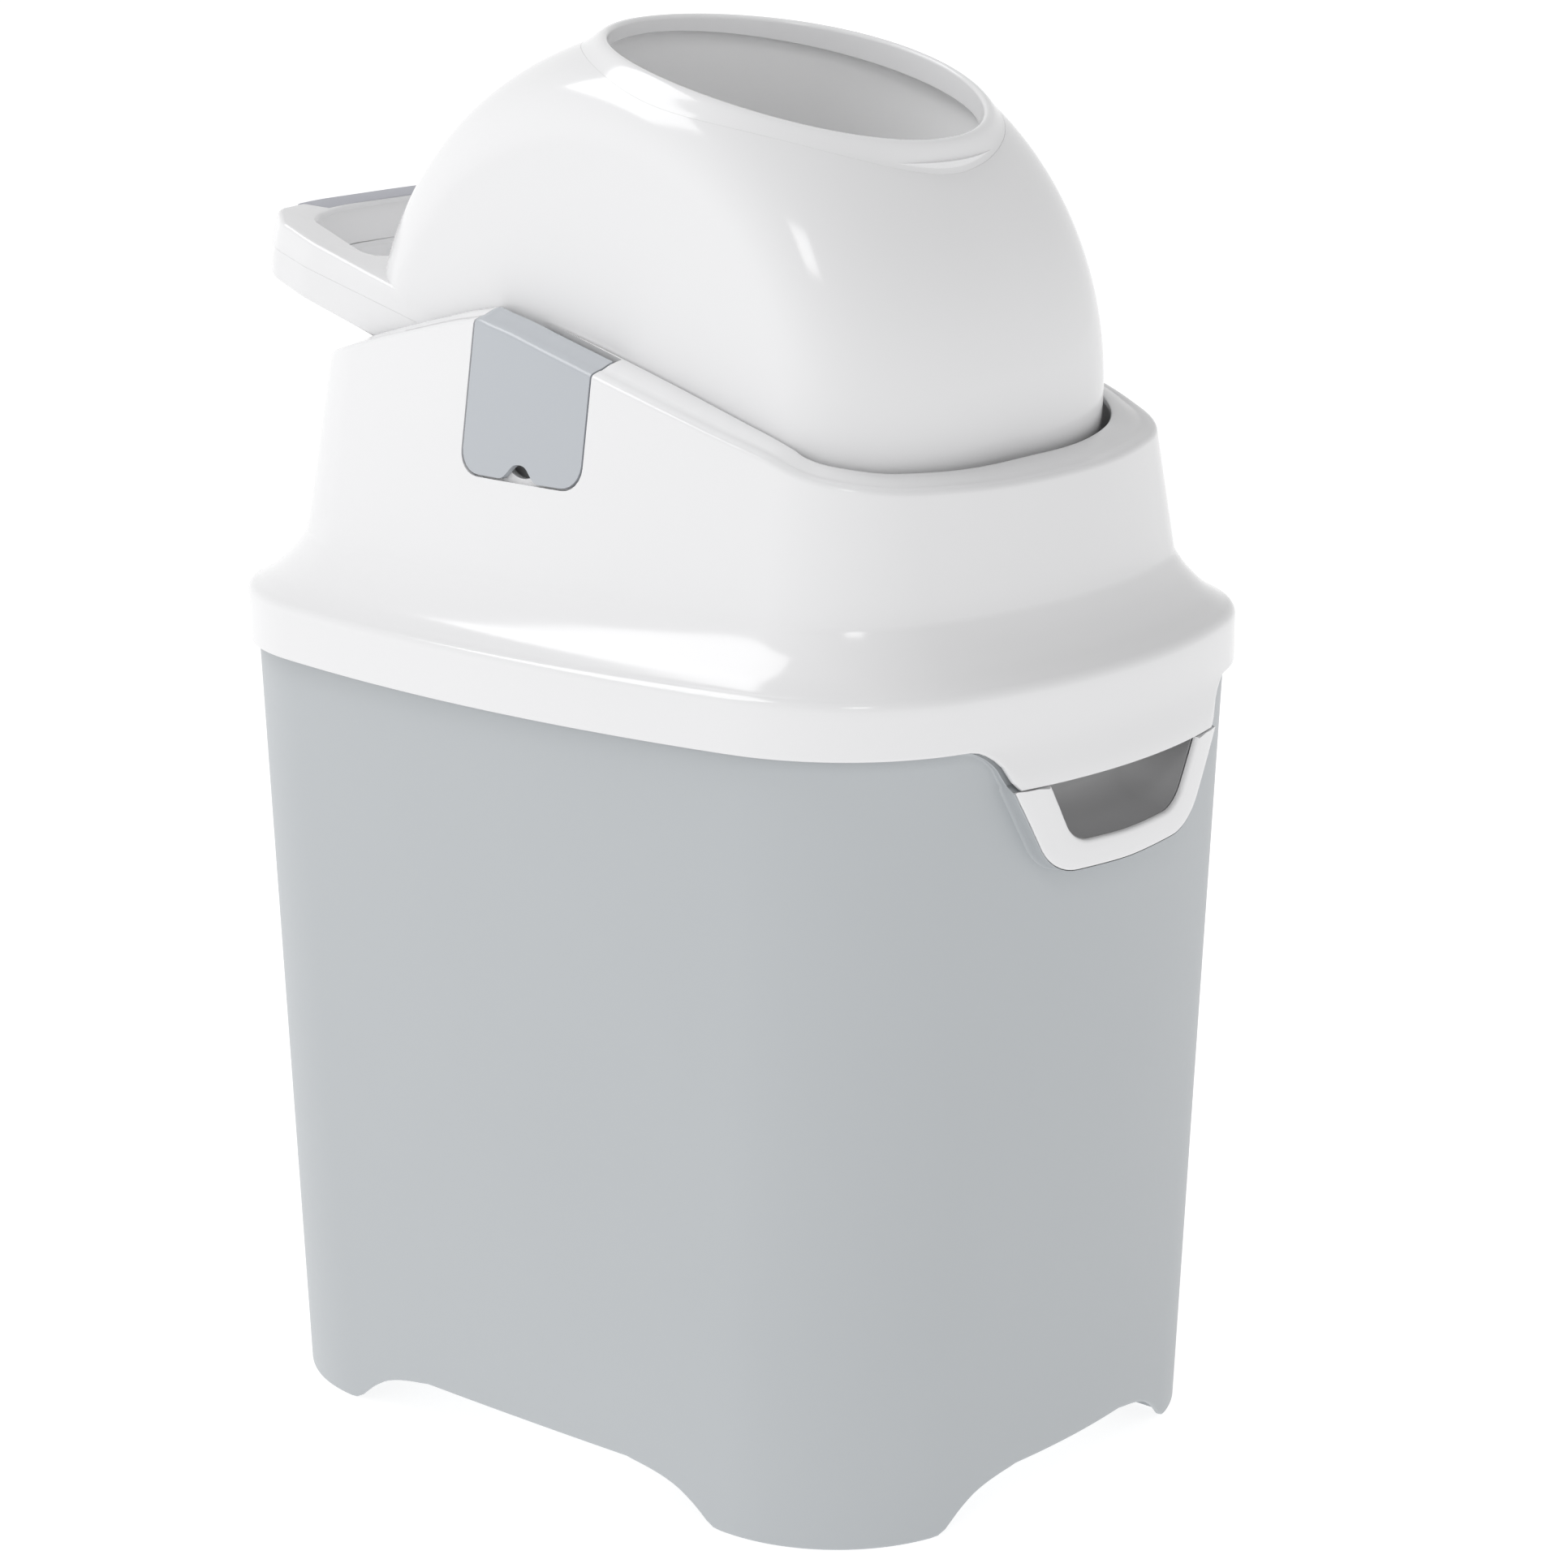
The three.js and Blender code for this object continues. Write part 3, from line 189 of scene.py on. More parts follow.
def carve(piece, tool, way="DIFFERENCE"):
    """Takes a closed tool out of a piece, or joins it on, and clears the tool away."""
    step = piece.modifiers.new("carve", "BOOLEAN")
    step.operation = way
    step.solver = "MANIFOLD"
    step.object = tool
    graph = bpy.context.evaluated_depsgraph_get()
    mesh = bpy.data.meshes.new_from_object(piece.evaluated_get(graph))
    piece.modifiers.clear()
    worn = piece.data
    piece.data = mesh
    bpy.data.meshes.remove(worn)
    bpy.data.objects.remove(tool)
    smooth(mesh)


def join_on(piece, extras):
    """Adds another object's closed shells to a piece, and clears that object away."""
    both = bmesh.new()
    both.from_mesh(piece.data)
    both.from_mesh(extras.data)
    both.to_mesh(piece.data)
    both.free()
    bpy.data.objects.remove(extras)
    smooth(piece.data)


def linear(value):
    """Linear colour of an sRGB hex value."""
    parts = [int(value[i : i + 2], 16) / 255 for i in (0, 2, 4)]
    return (*[c / 12.92 if c <= 0.04045 else ((c + 0.055) / 1.055) ** 2.4 for c in parts], 1)


def add_node(tree, kind, settings, inputs):
    """Node with its settings, and its inputs set or linked."""
    node = tree.nodes.new(kind)
    for name, value in settings.items():
        setattr(node, name, value)
    for socket, value in inputs.items():
        if isinstance(value, bpy.types.NodeSocket):
            tree.links.new(value, node.inputs[socket])
        else:
            node.inputs[socket].default_value = value
    return node


def moulded(name, tone, shade, roughness, ior, grain, depth, sheen=0.0):
    """Moulded plastic: a tone with a faint cloud of a second shade, and a fine grain of a size in metres."""
    made = bpy.data.materials.new(name)
    made.use_nodes = True
    tree = made.node_tree
    tree.nodes.clear()
    cloud_scale = 9.0
    speck_scale = 0.4 / grain
    bump_strength = 0.5
    where = add_node(tree, "ShaderNodeTexCoord", {}, {}).outputs["Object"]
    cloud = add_node(
        tree,
        "ShaderNodeTexNoise",
        {},
        {"Vector": where, "Scale": cloud_scale, "Detail": 3.0},
    )
    tint = add_node(
        tree,
        "ShaderNodeMix",
        {"data_type": "RGBA"},
        {0: cloud.outputs["Fac"], 6: linear(tone), 7: linear(shade)},
    )
    speck = add_node(
        tree,
        "ShaderNodeTexNoise",
        {},
        {"Vector": where, "Scale": speck_scale, "Detail": 2.0},
    )
    gloss = add_node(
        tree,
        "ShaderNodeMapRange",
        {},
        {"Value": speck.outputs["Fac"], "To Min": roughness * 0.93, "To Max": roughness * 1.07},
    )
    bump = add_node(
        tree,
        "ShaderNodeBump",
        {},
        {"Height": speck.outputs["Fac"], "Distance": depth, "Strength": bump_strength},
    )
    shader = add_node(
        tree,
        "ShaderNodeBsdfPrincipled",
        {},
        {
            "Base Color": tint.outputs[2],
            "Roughness": gloss.outputs["Result"],
            "Normal": bump.outputs["Normal"],
            "IOR": ior,
            "Sheen Weight": sheen,
        },
    )
    add_node(tree, "ShaderNodeOutputMaterial", {}, {"Surface": shader.outputs["BSDF"]})
    return made


band = plan_outline(BAND_HALF_WIDTH, BAND_HALF_LENGTH, BAND_CORNER, SIDE_BULGE, END_BULGE)
foot = plan_outline(half_width=120.6, half_length=164.5, corner=65.2, side_bulge=1.3, end_bulge=4.6)
around = range(len(band))
arch_shares = [(0, 0), (0.08, 0.02), (0.15, 0.12), (0.22, 0.27), (0.3, 0.43), (0.38, 0.56), (0.46, 0.675)]
arch_shares += [(0.54, 0.755), (0.62, 0.82), (0.7, 0.868), (0.78, 0.91), (0.86, 0.943), (0.93, 0.97), (1, 1)]
tab_shares = [(0, 0), (0.1, 0.1), (0.33, 0.56), (0.6, 0.84), (0.82, 0.97), (1, 1)]


def tub_point(k, inset, z):
    """Point of the bucket's drafted wall, drawn in by an inset."""
    high = band[k][0] - band[k][1] * (TUB_GAP + inset)
    low = foot[k][0] - foot[k][1] * inset
    spot = low.lerp(high, z / SKIRT_Z)
    return Vector((spot.x, spot.y, z))


def foot_edge(k):
    """Height of the bucket's lower edge, with long arches between the feet."""
    spot = foot[k][0]
    side = eased(arch_shares, (SIDE_ARCH_END - abs(spot.y - SIDE_ARCH_Y)) / SIDE_ARCH_RUN)
    front = eased(arch_shares, (FRONT_ARCH_END - abs(spot.x)) / FRONT_ARCH_RUN)
    return ARCH_HEIGHT * max(side, front)


def tub_row(inset, height):
    """Row round the bucket's wall at one height, or at a height of its own at each place."""
    return [tub_point(k, inset, height(k) if callable(height) else height) for k in around]


foot_rounding = [(2.2, 0.5), (1.7, 0.1), (1.2, 0), (0.6, 0.08), (0.2, 0.4), (0.03, 0.9), (0, FOOT_ROUND)]
wall_shares = [0.03, 0.08, 0.16, 0.28, 0.42, 0.56, 0.7, 0.82, 0.9, 0.96, 1]
rim_bead = [(0.15, TUB_TOP_Z - 0.4), (0.6, TUB_TOP_Z), (4.2, TUB_TOP_Z), (4.65, TUB_TOP_Z - 0.4)]
rim_bead += [(4.8, BEAD_Z), (4.8, 303), (TUB_WALL, 300.6)]
inner_wall = [(TUB_WALL, 200), (TUB_WALL, 100), (TUB_WALL, 36)]
inner_wall += [(3, FLOOR_Z + 5.7), (4.6, FLOOR_Z + 2.3), (7, FLOOR_Z + 0.5), (10.4, FLOOR_Z)]
bm = bmesh.new()
rows = [tub_row(TUB_WALL, FLOOR_UNDER_Z), tub_row(TUB_WALL, lambda k: foot_edge(k) + 1.2)]
for inset, rise in foot_rounding:
    rows.append(tub_row(inset, lambda k: foot_edge(k) + rise))
for share in wall_shares:
    rest = 1 - share
    rows.append(tub_row(0, lambda k: (foot_edge(k) + FOOT_ROUND) * rest + BEAD_Z * share))
rows += [tub_row(inset, z) for inset, z in rim_bead + inner_wall]
for ring in raise_wall(bm, rows):
    cap(bm, ring)
wall_tree = BVHTree.FromBMesh(bm)
bucket = finish_piece("bucket_tub", bm, BIN_PLACE)


def wall_spot(x, z, proud):
    """Point that stands proud of the bucket's front wall."""
    well_before = -400
    hit, facing = wall_tree.ray_cast(Vector((x, well_before, z)), Vector((0, 1, 0)))[:2]
    facing.z = 0
    return hit + facing.normalized() * (proud if facing.y < 0 else -proud)


def rounded_chain(corners, steps=10):
    """Points along a chain of straight runs, with an arc of its own radius at each inner corner."""
    points = [Vector(corners[0][:2])]
    for before, (x, y, radius), after in zip(corners, corners[1:], corners[2:]):
        here = Vector((x, y))
        back = (Vector(before[:2]) - here).normalized()
        ahead = (Vector(after[:2]) - here).normalized()
        half = math.acos(max(-1, min(1, back.dot(ahead)))) / 2
        middle = here + (back + ahead).normalized() * radius / math.sin(half)
        start = here + back * radius / math.tan(half) - middle
        end = here + ahead * radius / math.tan(half) - middle
        first = math.atan2(start.y, start.x)
        turn = math.atan2(start.x * end.y - start.y * end.x, start.dot(end))
        for i in range(steps + 1):
            angle = first + turn * i / steps
            points.append(middle + Vector((math.cos(angle), math.sin(angle))) * radius)
    return points + [Vector(corners[-1][:2])]


def both_halves(corners):
    """Corners of a symmetrical chain from those of its first half, the last of them in the middle."""
    return corners + [(-x, y, radius) for x, y, radius in reversed(corners[:-1])]


def spaced(points, count):
    """The same chain with points at even distances."""
    runs = [0.0]
    for a, b in zip(points, points[1:]):
        runs.append(runs[-1] + (b - a).length)
    made = []
    k = 0
    for i in range(count + 1):
        goal = runs[-1] * i / count
        while k < len(points) - 2 and runs[k + 1] < goal:
            k += 1
        made.append(points[k].lerp(points[k + 1], (goal - runs[k]) / max(1e-9, runs[k + 1] - runs[k])))
    return made


def drawn_out(points, grow):
    """The chain moved sideways by a distance, to the left of its way."""
    made = []
    for k, point in enumerate(points):
        along = points[min(k + 1, len(points) - 1)] - points[max(k - 1, 0)]
        made.append(point + Vector((-along.y, along.x)).normalized() * grow)
    return made


# The bowl's hole in the front wall, and the sole plates, ears and grip boss, moulded in one with the tub.
GRIP_TOP_Z = 283.6
GRIP_HALF_WIDTH = 59.3
BOWL_HALF_WIDTH = 43.2
BOWL_TOP_Z = 296.9
BOWL_GAP = 2.1
BOSS_PROUD = 7.2
FLANK_PROUD = 3.3
FLANK_FALL = 2.2
GRIP_STEPS = 96
BOWL_STEPS = 140
bowl_foot = [(30.6, 260.3, 15), (0, 259, 200)]
bowl_corners = both_halves([(BOWL_HALF_WIDTH, BOWL_TOP_Z, 0), (BOWL_HALF_WIDTH, GRIP_TOP_Z, 3), *bowl_foot])
bowl_chain = spaced(rounded_chain(bowl_corners), BOWL_STEPS)


def bowl_ring(grow, y):
    """Closed outline of the finger bowl at one depth."""
    chain = drawn_out(bowl_chain, grow)
    chain[0].y += grow
    chain[-1].y += grow
    return [Vector((p.x, y, p.y)) for p in chain]


bm = bmesh.new()
for ring in raise_wall(bm, [bowl_ring(BOWL_GAP, -240), bowl_ring(BOWL_GAP, -150)]):
    cap(bm, ring)
carve(bucket, finish_piece("bowl_hole", bm, BIN_PLACE))

bm = bmesh.new()
for sx in (-1, 1):
    for sy in (-1, 1):
        plate = bmesh.new()
        for ring in raise_wall(plate, [tub_row(SOLE_INSET, SOLE_LOW_Z), tub_row(SOLE_INSET, SOLE_TOP_Z)]):
            cap(plate, ring)
        inner_x = ((sx * SOLE_X, 0, 0), (sx, 0, 0))
        inner_y = ((0, sy * SOLE_Y + SIDE_ARCH_Y, 0), (0, sy, 0))
        for spot, out in (inner_x, inner_y):
            whole = plate.verts[:] + plate.edges[:] + plate.faces[:]
            cut = bmesh.ops.bisect_plane(plate, geom=whole, plane_co=spot, plane_no=out, clear_inner=True)
            open_edges = [item for item in cut["geom_cut"] if isinstance(item, bmesh.types.BMEdge)]
            bmesh.ops.edgeloop_fill(plate, edges=open_edges)
        sole = bpy.data.meshes.new("sole")
        plate.to_mesh(sole)
        plate.free()
        bm.from_mesh(sole)
        bpy.data.meshes.remove(sole)
half_turn = [i * math.pi / 12 for i in range(13)]
knuckle = []
for turn in half_turn:
    knuckle.append(Vector((HINGE_Y + EAR_RADIUS * math.sin(turn), HINGE_Z + EAR_RADIUS * math.cos(turn))))
ear_shape = [Vector((174, 276)), Vector((174, 298)), *knuckle, Vector((188, 284))]
for side in (-HINGE_X, HINGE_X):
    for out in (-1, 1):
        prism(bm, side + out * EAR_SPACING - EAR_THICKNESS / 2, ear_shape, EAR_THICKNESS)
grip_corners = both_halves([(GRIP_HALF_WIDTH, GRIP_TOP_Z, 0), (40.4, 250.4, 22), (0, 248.7, 200)])
grip_chain = spaced(rounded_chain(grip_corners, 14), GRIP_STEPS)
flank = []
for share in [1 - i / 10 for i in range(10)]:
    flank.append(Vector((TAB_HALF_WIDTH + TAB_RUN * share, TAB_Z + TAB_DROP * eased(tab_shares, share))))
boss_chain = flank + grip_chain + [Vector((-p.x, p.y)) for p in reversed(flank)]
boss_shares = [(1.5, -0.25), (1.4, 0), (1, 0.06), (0.7, 0.16), (0.55, 0.5), (0.55, 0.92), (0.45, 0.98)]
boss_shares += [(0.3, 1), (0.28, 0.7)]


def boss_height(z):
    """How far the boss stands out from the wall: less beside the lid's tab than round the grip."""
    return BOSS_PROUD if z <= TAB_Z - 0.2 else FLANK_PROUD - FLANK_FALL * (z - TAB_Z) / TAB_DROP


boss_rows = []
for grow, share in boss_shares:
    wider = drawn_out(boss_chain, grow)
    boss_rows.append([wall_spot(p.x, p.y, boss_height(c.y) * share) for p, c in zip(wider, boss_chain)])
for share in (0.7, -0.5):
    boss_rows.append([wall_spot(c.x * 0.83, max(c.y, 257), boss_height(c.y) * share) for c in boss_chain])
raise_wall(bm, boss_rows, closed=False, join_ends=True)
bmesh.ops.holes_fill(bm, edges=bm.edges, sides=0)
join_on(bucket, finish_piece("bucket_extras", bm, BIN_PLACE))
satin_grey = moulded("satin_polypropylene_grey", "B4B8BB", "B1B5B8", 0.46, 1.49, 0.0012, 0.00004)
bucket.data.materials.clear()
bucket.data.materials.append(satin_grey)
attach(bucket, "base")
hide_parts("bucket")

# Front grip: a white U-shaped face with a bowl for four fingers, pressed into the bucket's boss.
# The lid's tab hangs just above it. The face is glossy polypropylene. The bowl is matt inside, and its white
# plastic is painted mid grey as painted shade for the shadow under the tab.
GRIP_PROUD = 7.6
BOWL_FRONT_PROUD = 5.3
BOWL_TOP_PROUD = 0.5
BOWL_BACK_Y = -164.1
inner_corners = both_halves([(BOWL_HALF_WIDTH, GRIP_TOP_Z, 0), *bowl_foot])
inner_chain = spaced(rounded_chain(inner_corners, 14), GRIP_STEPS)
outer_edge = [(0, 1.9), (0, 0.6), (0.12, 0.3), (0.4, 0.08), (0.8, 0)]
inner_edge = [(1.6, 0), (0.9, 0.15), (0.4, 0.5), (0.1, 1.1), (0, 1.9)]
bm = bmesh.new()
face_rows = []
for inward, sink in outer_edge:
    face_rows.append([wall_spot(p.x, p.y, GRIP_PROUD - sink) for p in drawn_out(grip_chain, -inward)])
for share in (0.3, 0.6):
    middle = [a.lerp(b, share) for a, b in zip(grip_chain, inner_chain)]
    face_rows.append([wall_spot(p.x, p.y, GRIP_PROUD) for p in middle])
for outward, sink in inner_edge:
    face_rows.append([wall_spot(p.x, p.y, GRIP_PROUD - sink) for p in drawn_out(inner_chain, outward)])
raise_wall(bm, face_rows, closed=False, join_ends=True)
bmesh.ops.holes_fill(bm, edges=bm.edges, sides=0)


def bowl_row(grow, share):
    """Row of the bowl's wall, at a share of the way from the grip's face to the flat back."""
    row = []
    for p in bowl_ring(grow, 0):
        proud = BOWL_FRONT_PROUD if p.z < GRIP_TOP_Z + 0.4 else BOWL_TOP_PROUD
        near = wall_spot(p.x, min(p.z, GRIP_TOP_Z), proud).y
        row.append(Vector((p.x, near + (BOWL_BACK_Y - near) * share, p.z)))
    return row


face_part = set(bm.faces)
outer_shares = [(-11, 1.12), (-5.5, 1.06), (-2, 0.93), (0.4, 0.7), (1.5, 0.4), (1.7, 0)]
inner_shares = [(0.03, 0), (0, 0.06), (-0.5, 0.22), (-1.4, 0.4), (-2.8, 0.57), (-4.6, 0.72), (-6.8, 0.84)]
inner_shares += [(-9.2, 0.93), (-11.4, 0.98), (-13, 1)]
for ring in raise_wall(bm, [bowl_row(grow, share) for grow, share in outer_shares + inner_shares]):
    cap(bm, ring)
# The bowl's faces take the second material, whose grey is painted shade.
for face in bm.faces:
    face.material_index = 0 if face in face_part else 1
grip = finish_piece("grip_face", bm, BIN_PLACE)
glossy_white = moulded("glossy_polypropylene_white", "E4E4E5", "E2E2E3", 0.13, 1.5, 0.004, 0.00002)
# Painted shade: the bowl is the same white plastic, darkened to a mid grey to stand in for its shadow.
bowl_painted_shade = moulded("matt_polypropylene_bowl_painted_shade", "A6A6A7", "A2A2A3", 0.5, 1.49, 0.0012, 0.00004)
grip.data.materials.append(glossy_white)
grip.data.materials.append(bowl_painted_shade)
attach(grip, "base")
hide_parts("grip_insert")

# Lid housing: one white moulding of a skirt with a front tab, a hollow flare, a leaning neck and a rim.
# The rim rises in a wave at each side, and its face runs in to the drum. The skirt has a rib for the gasket.
PIVOT_Y = -0.7
PIVOT_Z = 403.6
TILT = math.radians(14.5)
DRUM_HALF_WIDTH = 86.2
DRUM_RADIUS = 132.2
DISC_RADIUS = 92.8
SIDE_RUN = 76.5
ROUNDNESS = 2.26
ROOM_HALF_WIDTH = 87.1
ROOM_GAP = 2.8
ROOM_SWEEP = 1.9
ARM_REACH = 182
ARM_ROOM_DEPTH = 13.5
ARM_LEAN_SHARE = 0.03
NECK_Z = 342
NECK_INSET = 23.5
NECK_LEAN_SHARE = 0.165
NECK_INNER_Z = 348
RIM_LOW_Z = 384.5
WAVE_HEIGHT = 47.9
WAVE_CREST_Y = 35
WAVE_RUN = 190
RIM_BEND_DROP = 2.2
FACE_STEP = 0.5
FACE_LIMIT = 60
LEDGE_INSET = 12
LEDGE_DROP = 2.7
THICK_INSET = 9.8
THIN_INSET = 2.6
SKIRT_ROUND = 0.9
SKIRT_STRAIGHT_Z = 302
TAB_LEAN = 2.4
wave_shares = [(0, 1), (0.03, 0.976), (0.08, 0.939), (0.15, 0.871), (0.29, 0.729), (0.45, 0.557)]
wave_shares += [(0.6, 0.388), (0.7, 0.277), (0.8, 0.148), (0.87, 0.092), (0.95, 0.03), (1, 0)]
rim_shares = [(0, 0), (12, 3.2), (34, 5.6), (FACE_LIMIT, 6.8)]
rim_bend = [(p.x, p.y) for p in rounded_chain([(-0.33, -2, 0), (0, 0, 2.4), (4, 1.066, 0)], 8)]
flare_points = [(0, 312), (0, 317.5), (1.4, 320.4), (5.2, 322.6), (11.3, 326.7), (17.8, 333.2)]
flare_points += [(21.9, 338.8), (NECK_INSET, NECK_Z), (24.2, 346.2)]


def neck_inset(z):
    """Inset of the leaning neck's outer face at a height."""
    return NECK_INSET + NECK_LEAN_SHARE * (z - NECK_Z)


def wave_z(y):
    """Height of the rim's outer edge along the side."""
    return RIM_LOW_Z + WAVE_HEIGHT * eased(wave_shares, abs(y - WAVE_CREST_Y) / WAVE_RUN)


def drum_radius(x, grow, sweep):
    """Radius of the barrel-shaped drum at a place along its axis, or nothing beyond its sides."""
    half = DRUM_HALF_WIDTH + grow
    if abs(x) >= half:
        return 0
    disc = DISC_RADIUS + grow / 2
    ease = max(0, 1 - (half - abs(x)) / (SIDE_RUN + grow))
    turn = math.asin(min(1, ease ** (ROUNDNESS / 2)))
    fade = math.cos(turn)
    return disc + (DRUM_RADIUS + grow - disc) * fade ** (2 / ROUNDNESS) + sweep * fade**8


def in_drum_room(spot):
    """Whether the drum or its handle's arms need this spot as they turn."""
    if abs(spot.x) > ROOM_HALF_WIDTH:
        return False
    y, z = spot.y - PIVOT_Y, spot.z - PIVOT_Z
    if math.hypot(y, z) < drum_radius(spot.x, ROOM_GAP, ROOM_SWEEP):
        return True
    out = y * math.cos(TILT) + z * math.sin(TILT)
    up = z * math.cos(TILT) - y * math.sin(TILT)
    return 0 < out < ARM_REACH and up > -ARM_ROOM_DEPTH - ARM_LEAN_SHARE * (ARM_REACH - out)


def lid_point(k, inset, z):
    """Point of the lid's wall, drawn in from its widest outline by an inset."""
    spot = band[k][0] - band[k][1] * inset
    return Vector((spot.x, spot.y, z))


rim_z = []
for k in around:
    z = RIM_LOW_Z
    for _ in range(6):
        z = wave_z(lid_point(k, neck_inset(z), z).y)
    rim_z.append(z)


def rim_point(k, inset, drop=0):
    """Point of the rim's face, counted inwards from its outer edge."""
    rise = eased(rim_shares, inset) if inset > 0 else inset
    return lid_point(k, neck_inset(rim_z[k]) + inset, rim_z[k] + rise - drop)


# How far the rim's face runs in, at each place, before it meets the room that the drum needs.
opening = []
for k in around:
    inset = 4.0
    while not in_drum_room(rim_point(k, inset)) and inset < FACE_LIMIT:
        inset += FACE_STEP
    near, far = inset - FACE_STEP, inset
    for _ in range(12):
        middle = (near + far) / 2
        near, far = (near, middle) if in_drum_room(rim_point(k, middle)) else (middle, far)
    opening.append(near)


def skirt_edge(k):
    """Height of the skirt's lower edge, which drops to the tab at the front."""
    spot = band[k][0]
    if spot.y > 0 or abs(spot.x) > TAB_HALF_WIDTH + TAB_RUN:
        return SKIRT_Z
    return TAB_Z + TAB_DROP * eased(tab_shares, (abs(spot.x) - TAB_HALF_WIDTH) / TAB_RUN)


def tab_lean(z):
    """Inset by which the tab leans outwards below the skirt."""
    return -TAB_LEAN * max(0, SKIRT_Z - z) / TAB_DROP


def skirt_row(inset, rise):
    """Row that follows the skirt's lower edge."""
    return [lid_point(k, inset + tab_lean(skirt_edge(k) + rise), skirt_edge(k) + rise) for k in around]


def flowing(points, steps):
    """Smooth chain through points, with none added before the second or after the last but one."""
    made = []
    for a, b, c, d in zip(points, points[1:], points[2:], points[3:]):
        for i in range(steps):
            t = i / steps
            spot = []
            for p, q, r, s in zip(a, b, c, d):
                square, cube = 2 * p - 5 * q + 4 * r - s, 3 * q - p - 3 * r + s
                spot.append(0.5 * (2 * q + (r - p) * t + square * t * t + cube * t**3))
            made.append(tuple(spot))
    return made + [points[-2]]


skirt_rounding = [(2.5, 0.5), (2.1, 0.08), (1.5, 0), (0.6, 0.04), (0.14, 0.35), (0, SKIRT_ROUND)]
rows = [skirt_row(inset, rise) for inset, rise in skirt_rounding]
for share in (0.25, 0.5, 0.75, 1):
    row = []
    for k in around:
        low = skirt_edge(k) + SKIRT_ROUND
        z = low + (SKIRT_STRAIGHT_Z - low) * share
        row.append(lid_point(k, tab_lean(z), z))
    rows.append(row)
for z in (307, 312, 315):
    rows.append([lid_point(k, 0, z) for k in around])
for inset, z in flowing(flare_points, 5):
    rows.append([lid_point(k, inset, z) for k in around])
for share in (0.15, 0.35, 0.6, 0.85, 1):
    row = []
    for k in around:
        z = NECK_Z + (rim_z[k] - RIM_BEND_DROP - NECK_Z) * share
        row.append(lid_point(k, neck_inset(z), z))
    rows.append(row)
for inset, rise in rim_bend:
    rows.append([lid_point(k, neck_inset(rim_z[k]) + inset, rim_z[k] + rise) for k in around])
face_start, face_stop = 3.6, 1.1
for share in (0.12, 0.3, 0.5, 0.7, 0.88, 1):
    rows.append([rim_point(k, face_start + (opening[k] - face_stop - face_start) * share) for k in around])
for back, drop in [(0.5, 0.16), (0.15, 0.5), (0, 1.1), (0, 2.6)]:
    rows.append([rim_point(k, opening[k] - back, drop) for k in around])
ledge = [min(LEDGE_INSET, opening[k] - 0.4) for k in around]
rows.append([rim_point(k, ledge[k], LEDGE_DROP) for k in around])


def under_neck(k, inset, z):
    """Point inside the neck at a height, drawn in from its outer face."""
    return lid_point(k, neck_inset(z) + inset, z)


def under_row(insets, low_z, drop, share):
    """Row inside the neck, at a share of the way from a height up to a distance below the rim."""
    return [under_neck(k, insets[k], low_z + (rim_z[k] - drop - low_z) * share) for k in around]


rows += [under_row(ledge, NECK_INNER_Z, 2, share) for share in (1, 0.5, 0)]
rows += [under_row([THICK_INSET] * len(band), NECK_INNER_Z, 2, share) for share in (0, 0.5, 1)]
rows += [under_row([THIN_INSET] * len(band), NECK_Z, 3.4, share) for share in (1, 0.5, 0)]
under_flare = [(24.4, 336.3), (20.3, 330.7), (13.8, 324.2), (8.4, 320.6)]
gasket_rib = [(8.2, 312.2), (4.9, 312.2), (4.8, 319.4)]
inner_skirt = [(2.9, 316.4), (2.5, 314), (2.5, 306)]
for inset, z in under_flare + gasket_rib + inner_skirt:
    rows.append([lid_point(k, inset, z) for k in around])
bm = bmesh.new()
raise_wall(bm, rows, join_ends=True)
housing = finish_piece("lid_shell", bm, BIN_PLACE)

# The side clips' outline on the lid, for the pockets that they lie in and for the clips themselves.
SIDE_ARC_RADIUS = 604.5
CLIP_LOW_Z = 377.8
CLIP_FRONT_Y = -22.3
CLIP_REAR_Y = 36.5
CLIP_CORNER = 9
CLIP_THICKNESS = 2.5
NOTCH_Y = 7.3
NOTCH_HALF_WIDTH = 9.4
NOTCH_HEIGHT = 5.8
SCOOP_RADIUS = 9
SCOOP_DEPTH = 10
SCOOP_HEIGHT_SHARE = 0.85
SCOOP_X = -104
SCOOP_Z = 386
notch_shares = [(0, 1), (0.2, 0.96), (0.375, 0.82), (0.58, 0.47), (0.75, 0.2), (0.88, 0.06), (1, 0)]


def side_x(y, inset):
    """Half width of the lid at a place along its side."""
    arc_x = BAND_HALF_WIDTH - BAND_CORNER - SIDE_ARC_RADIUS
    return arc_x + math.sqrt((SIDE_ARC_RADIUS + BAND_CORNER - inset) ** 2 - y * y)


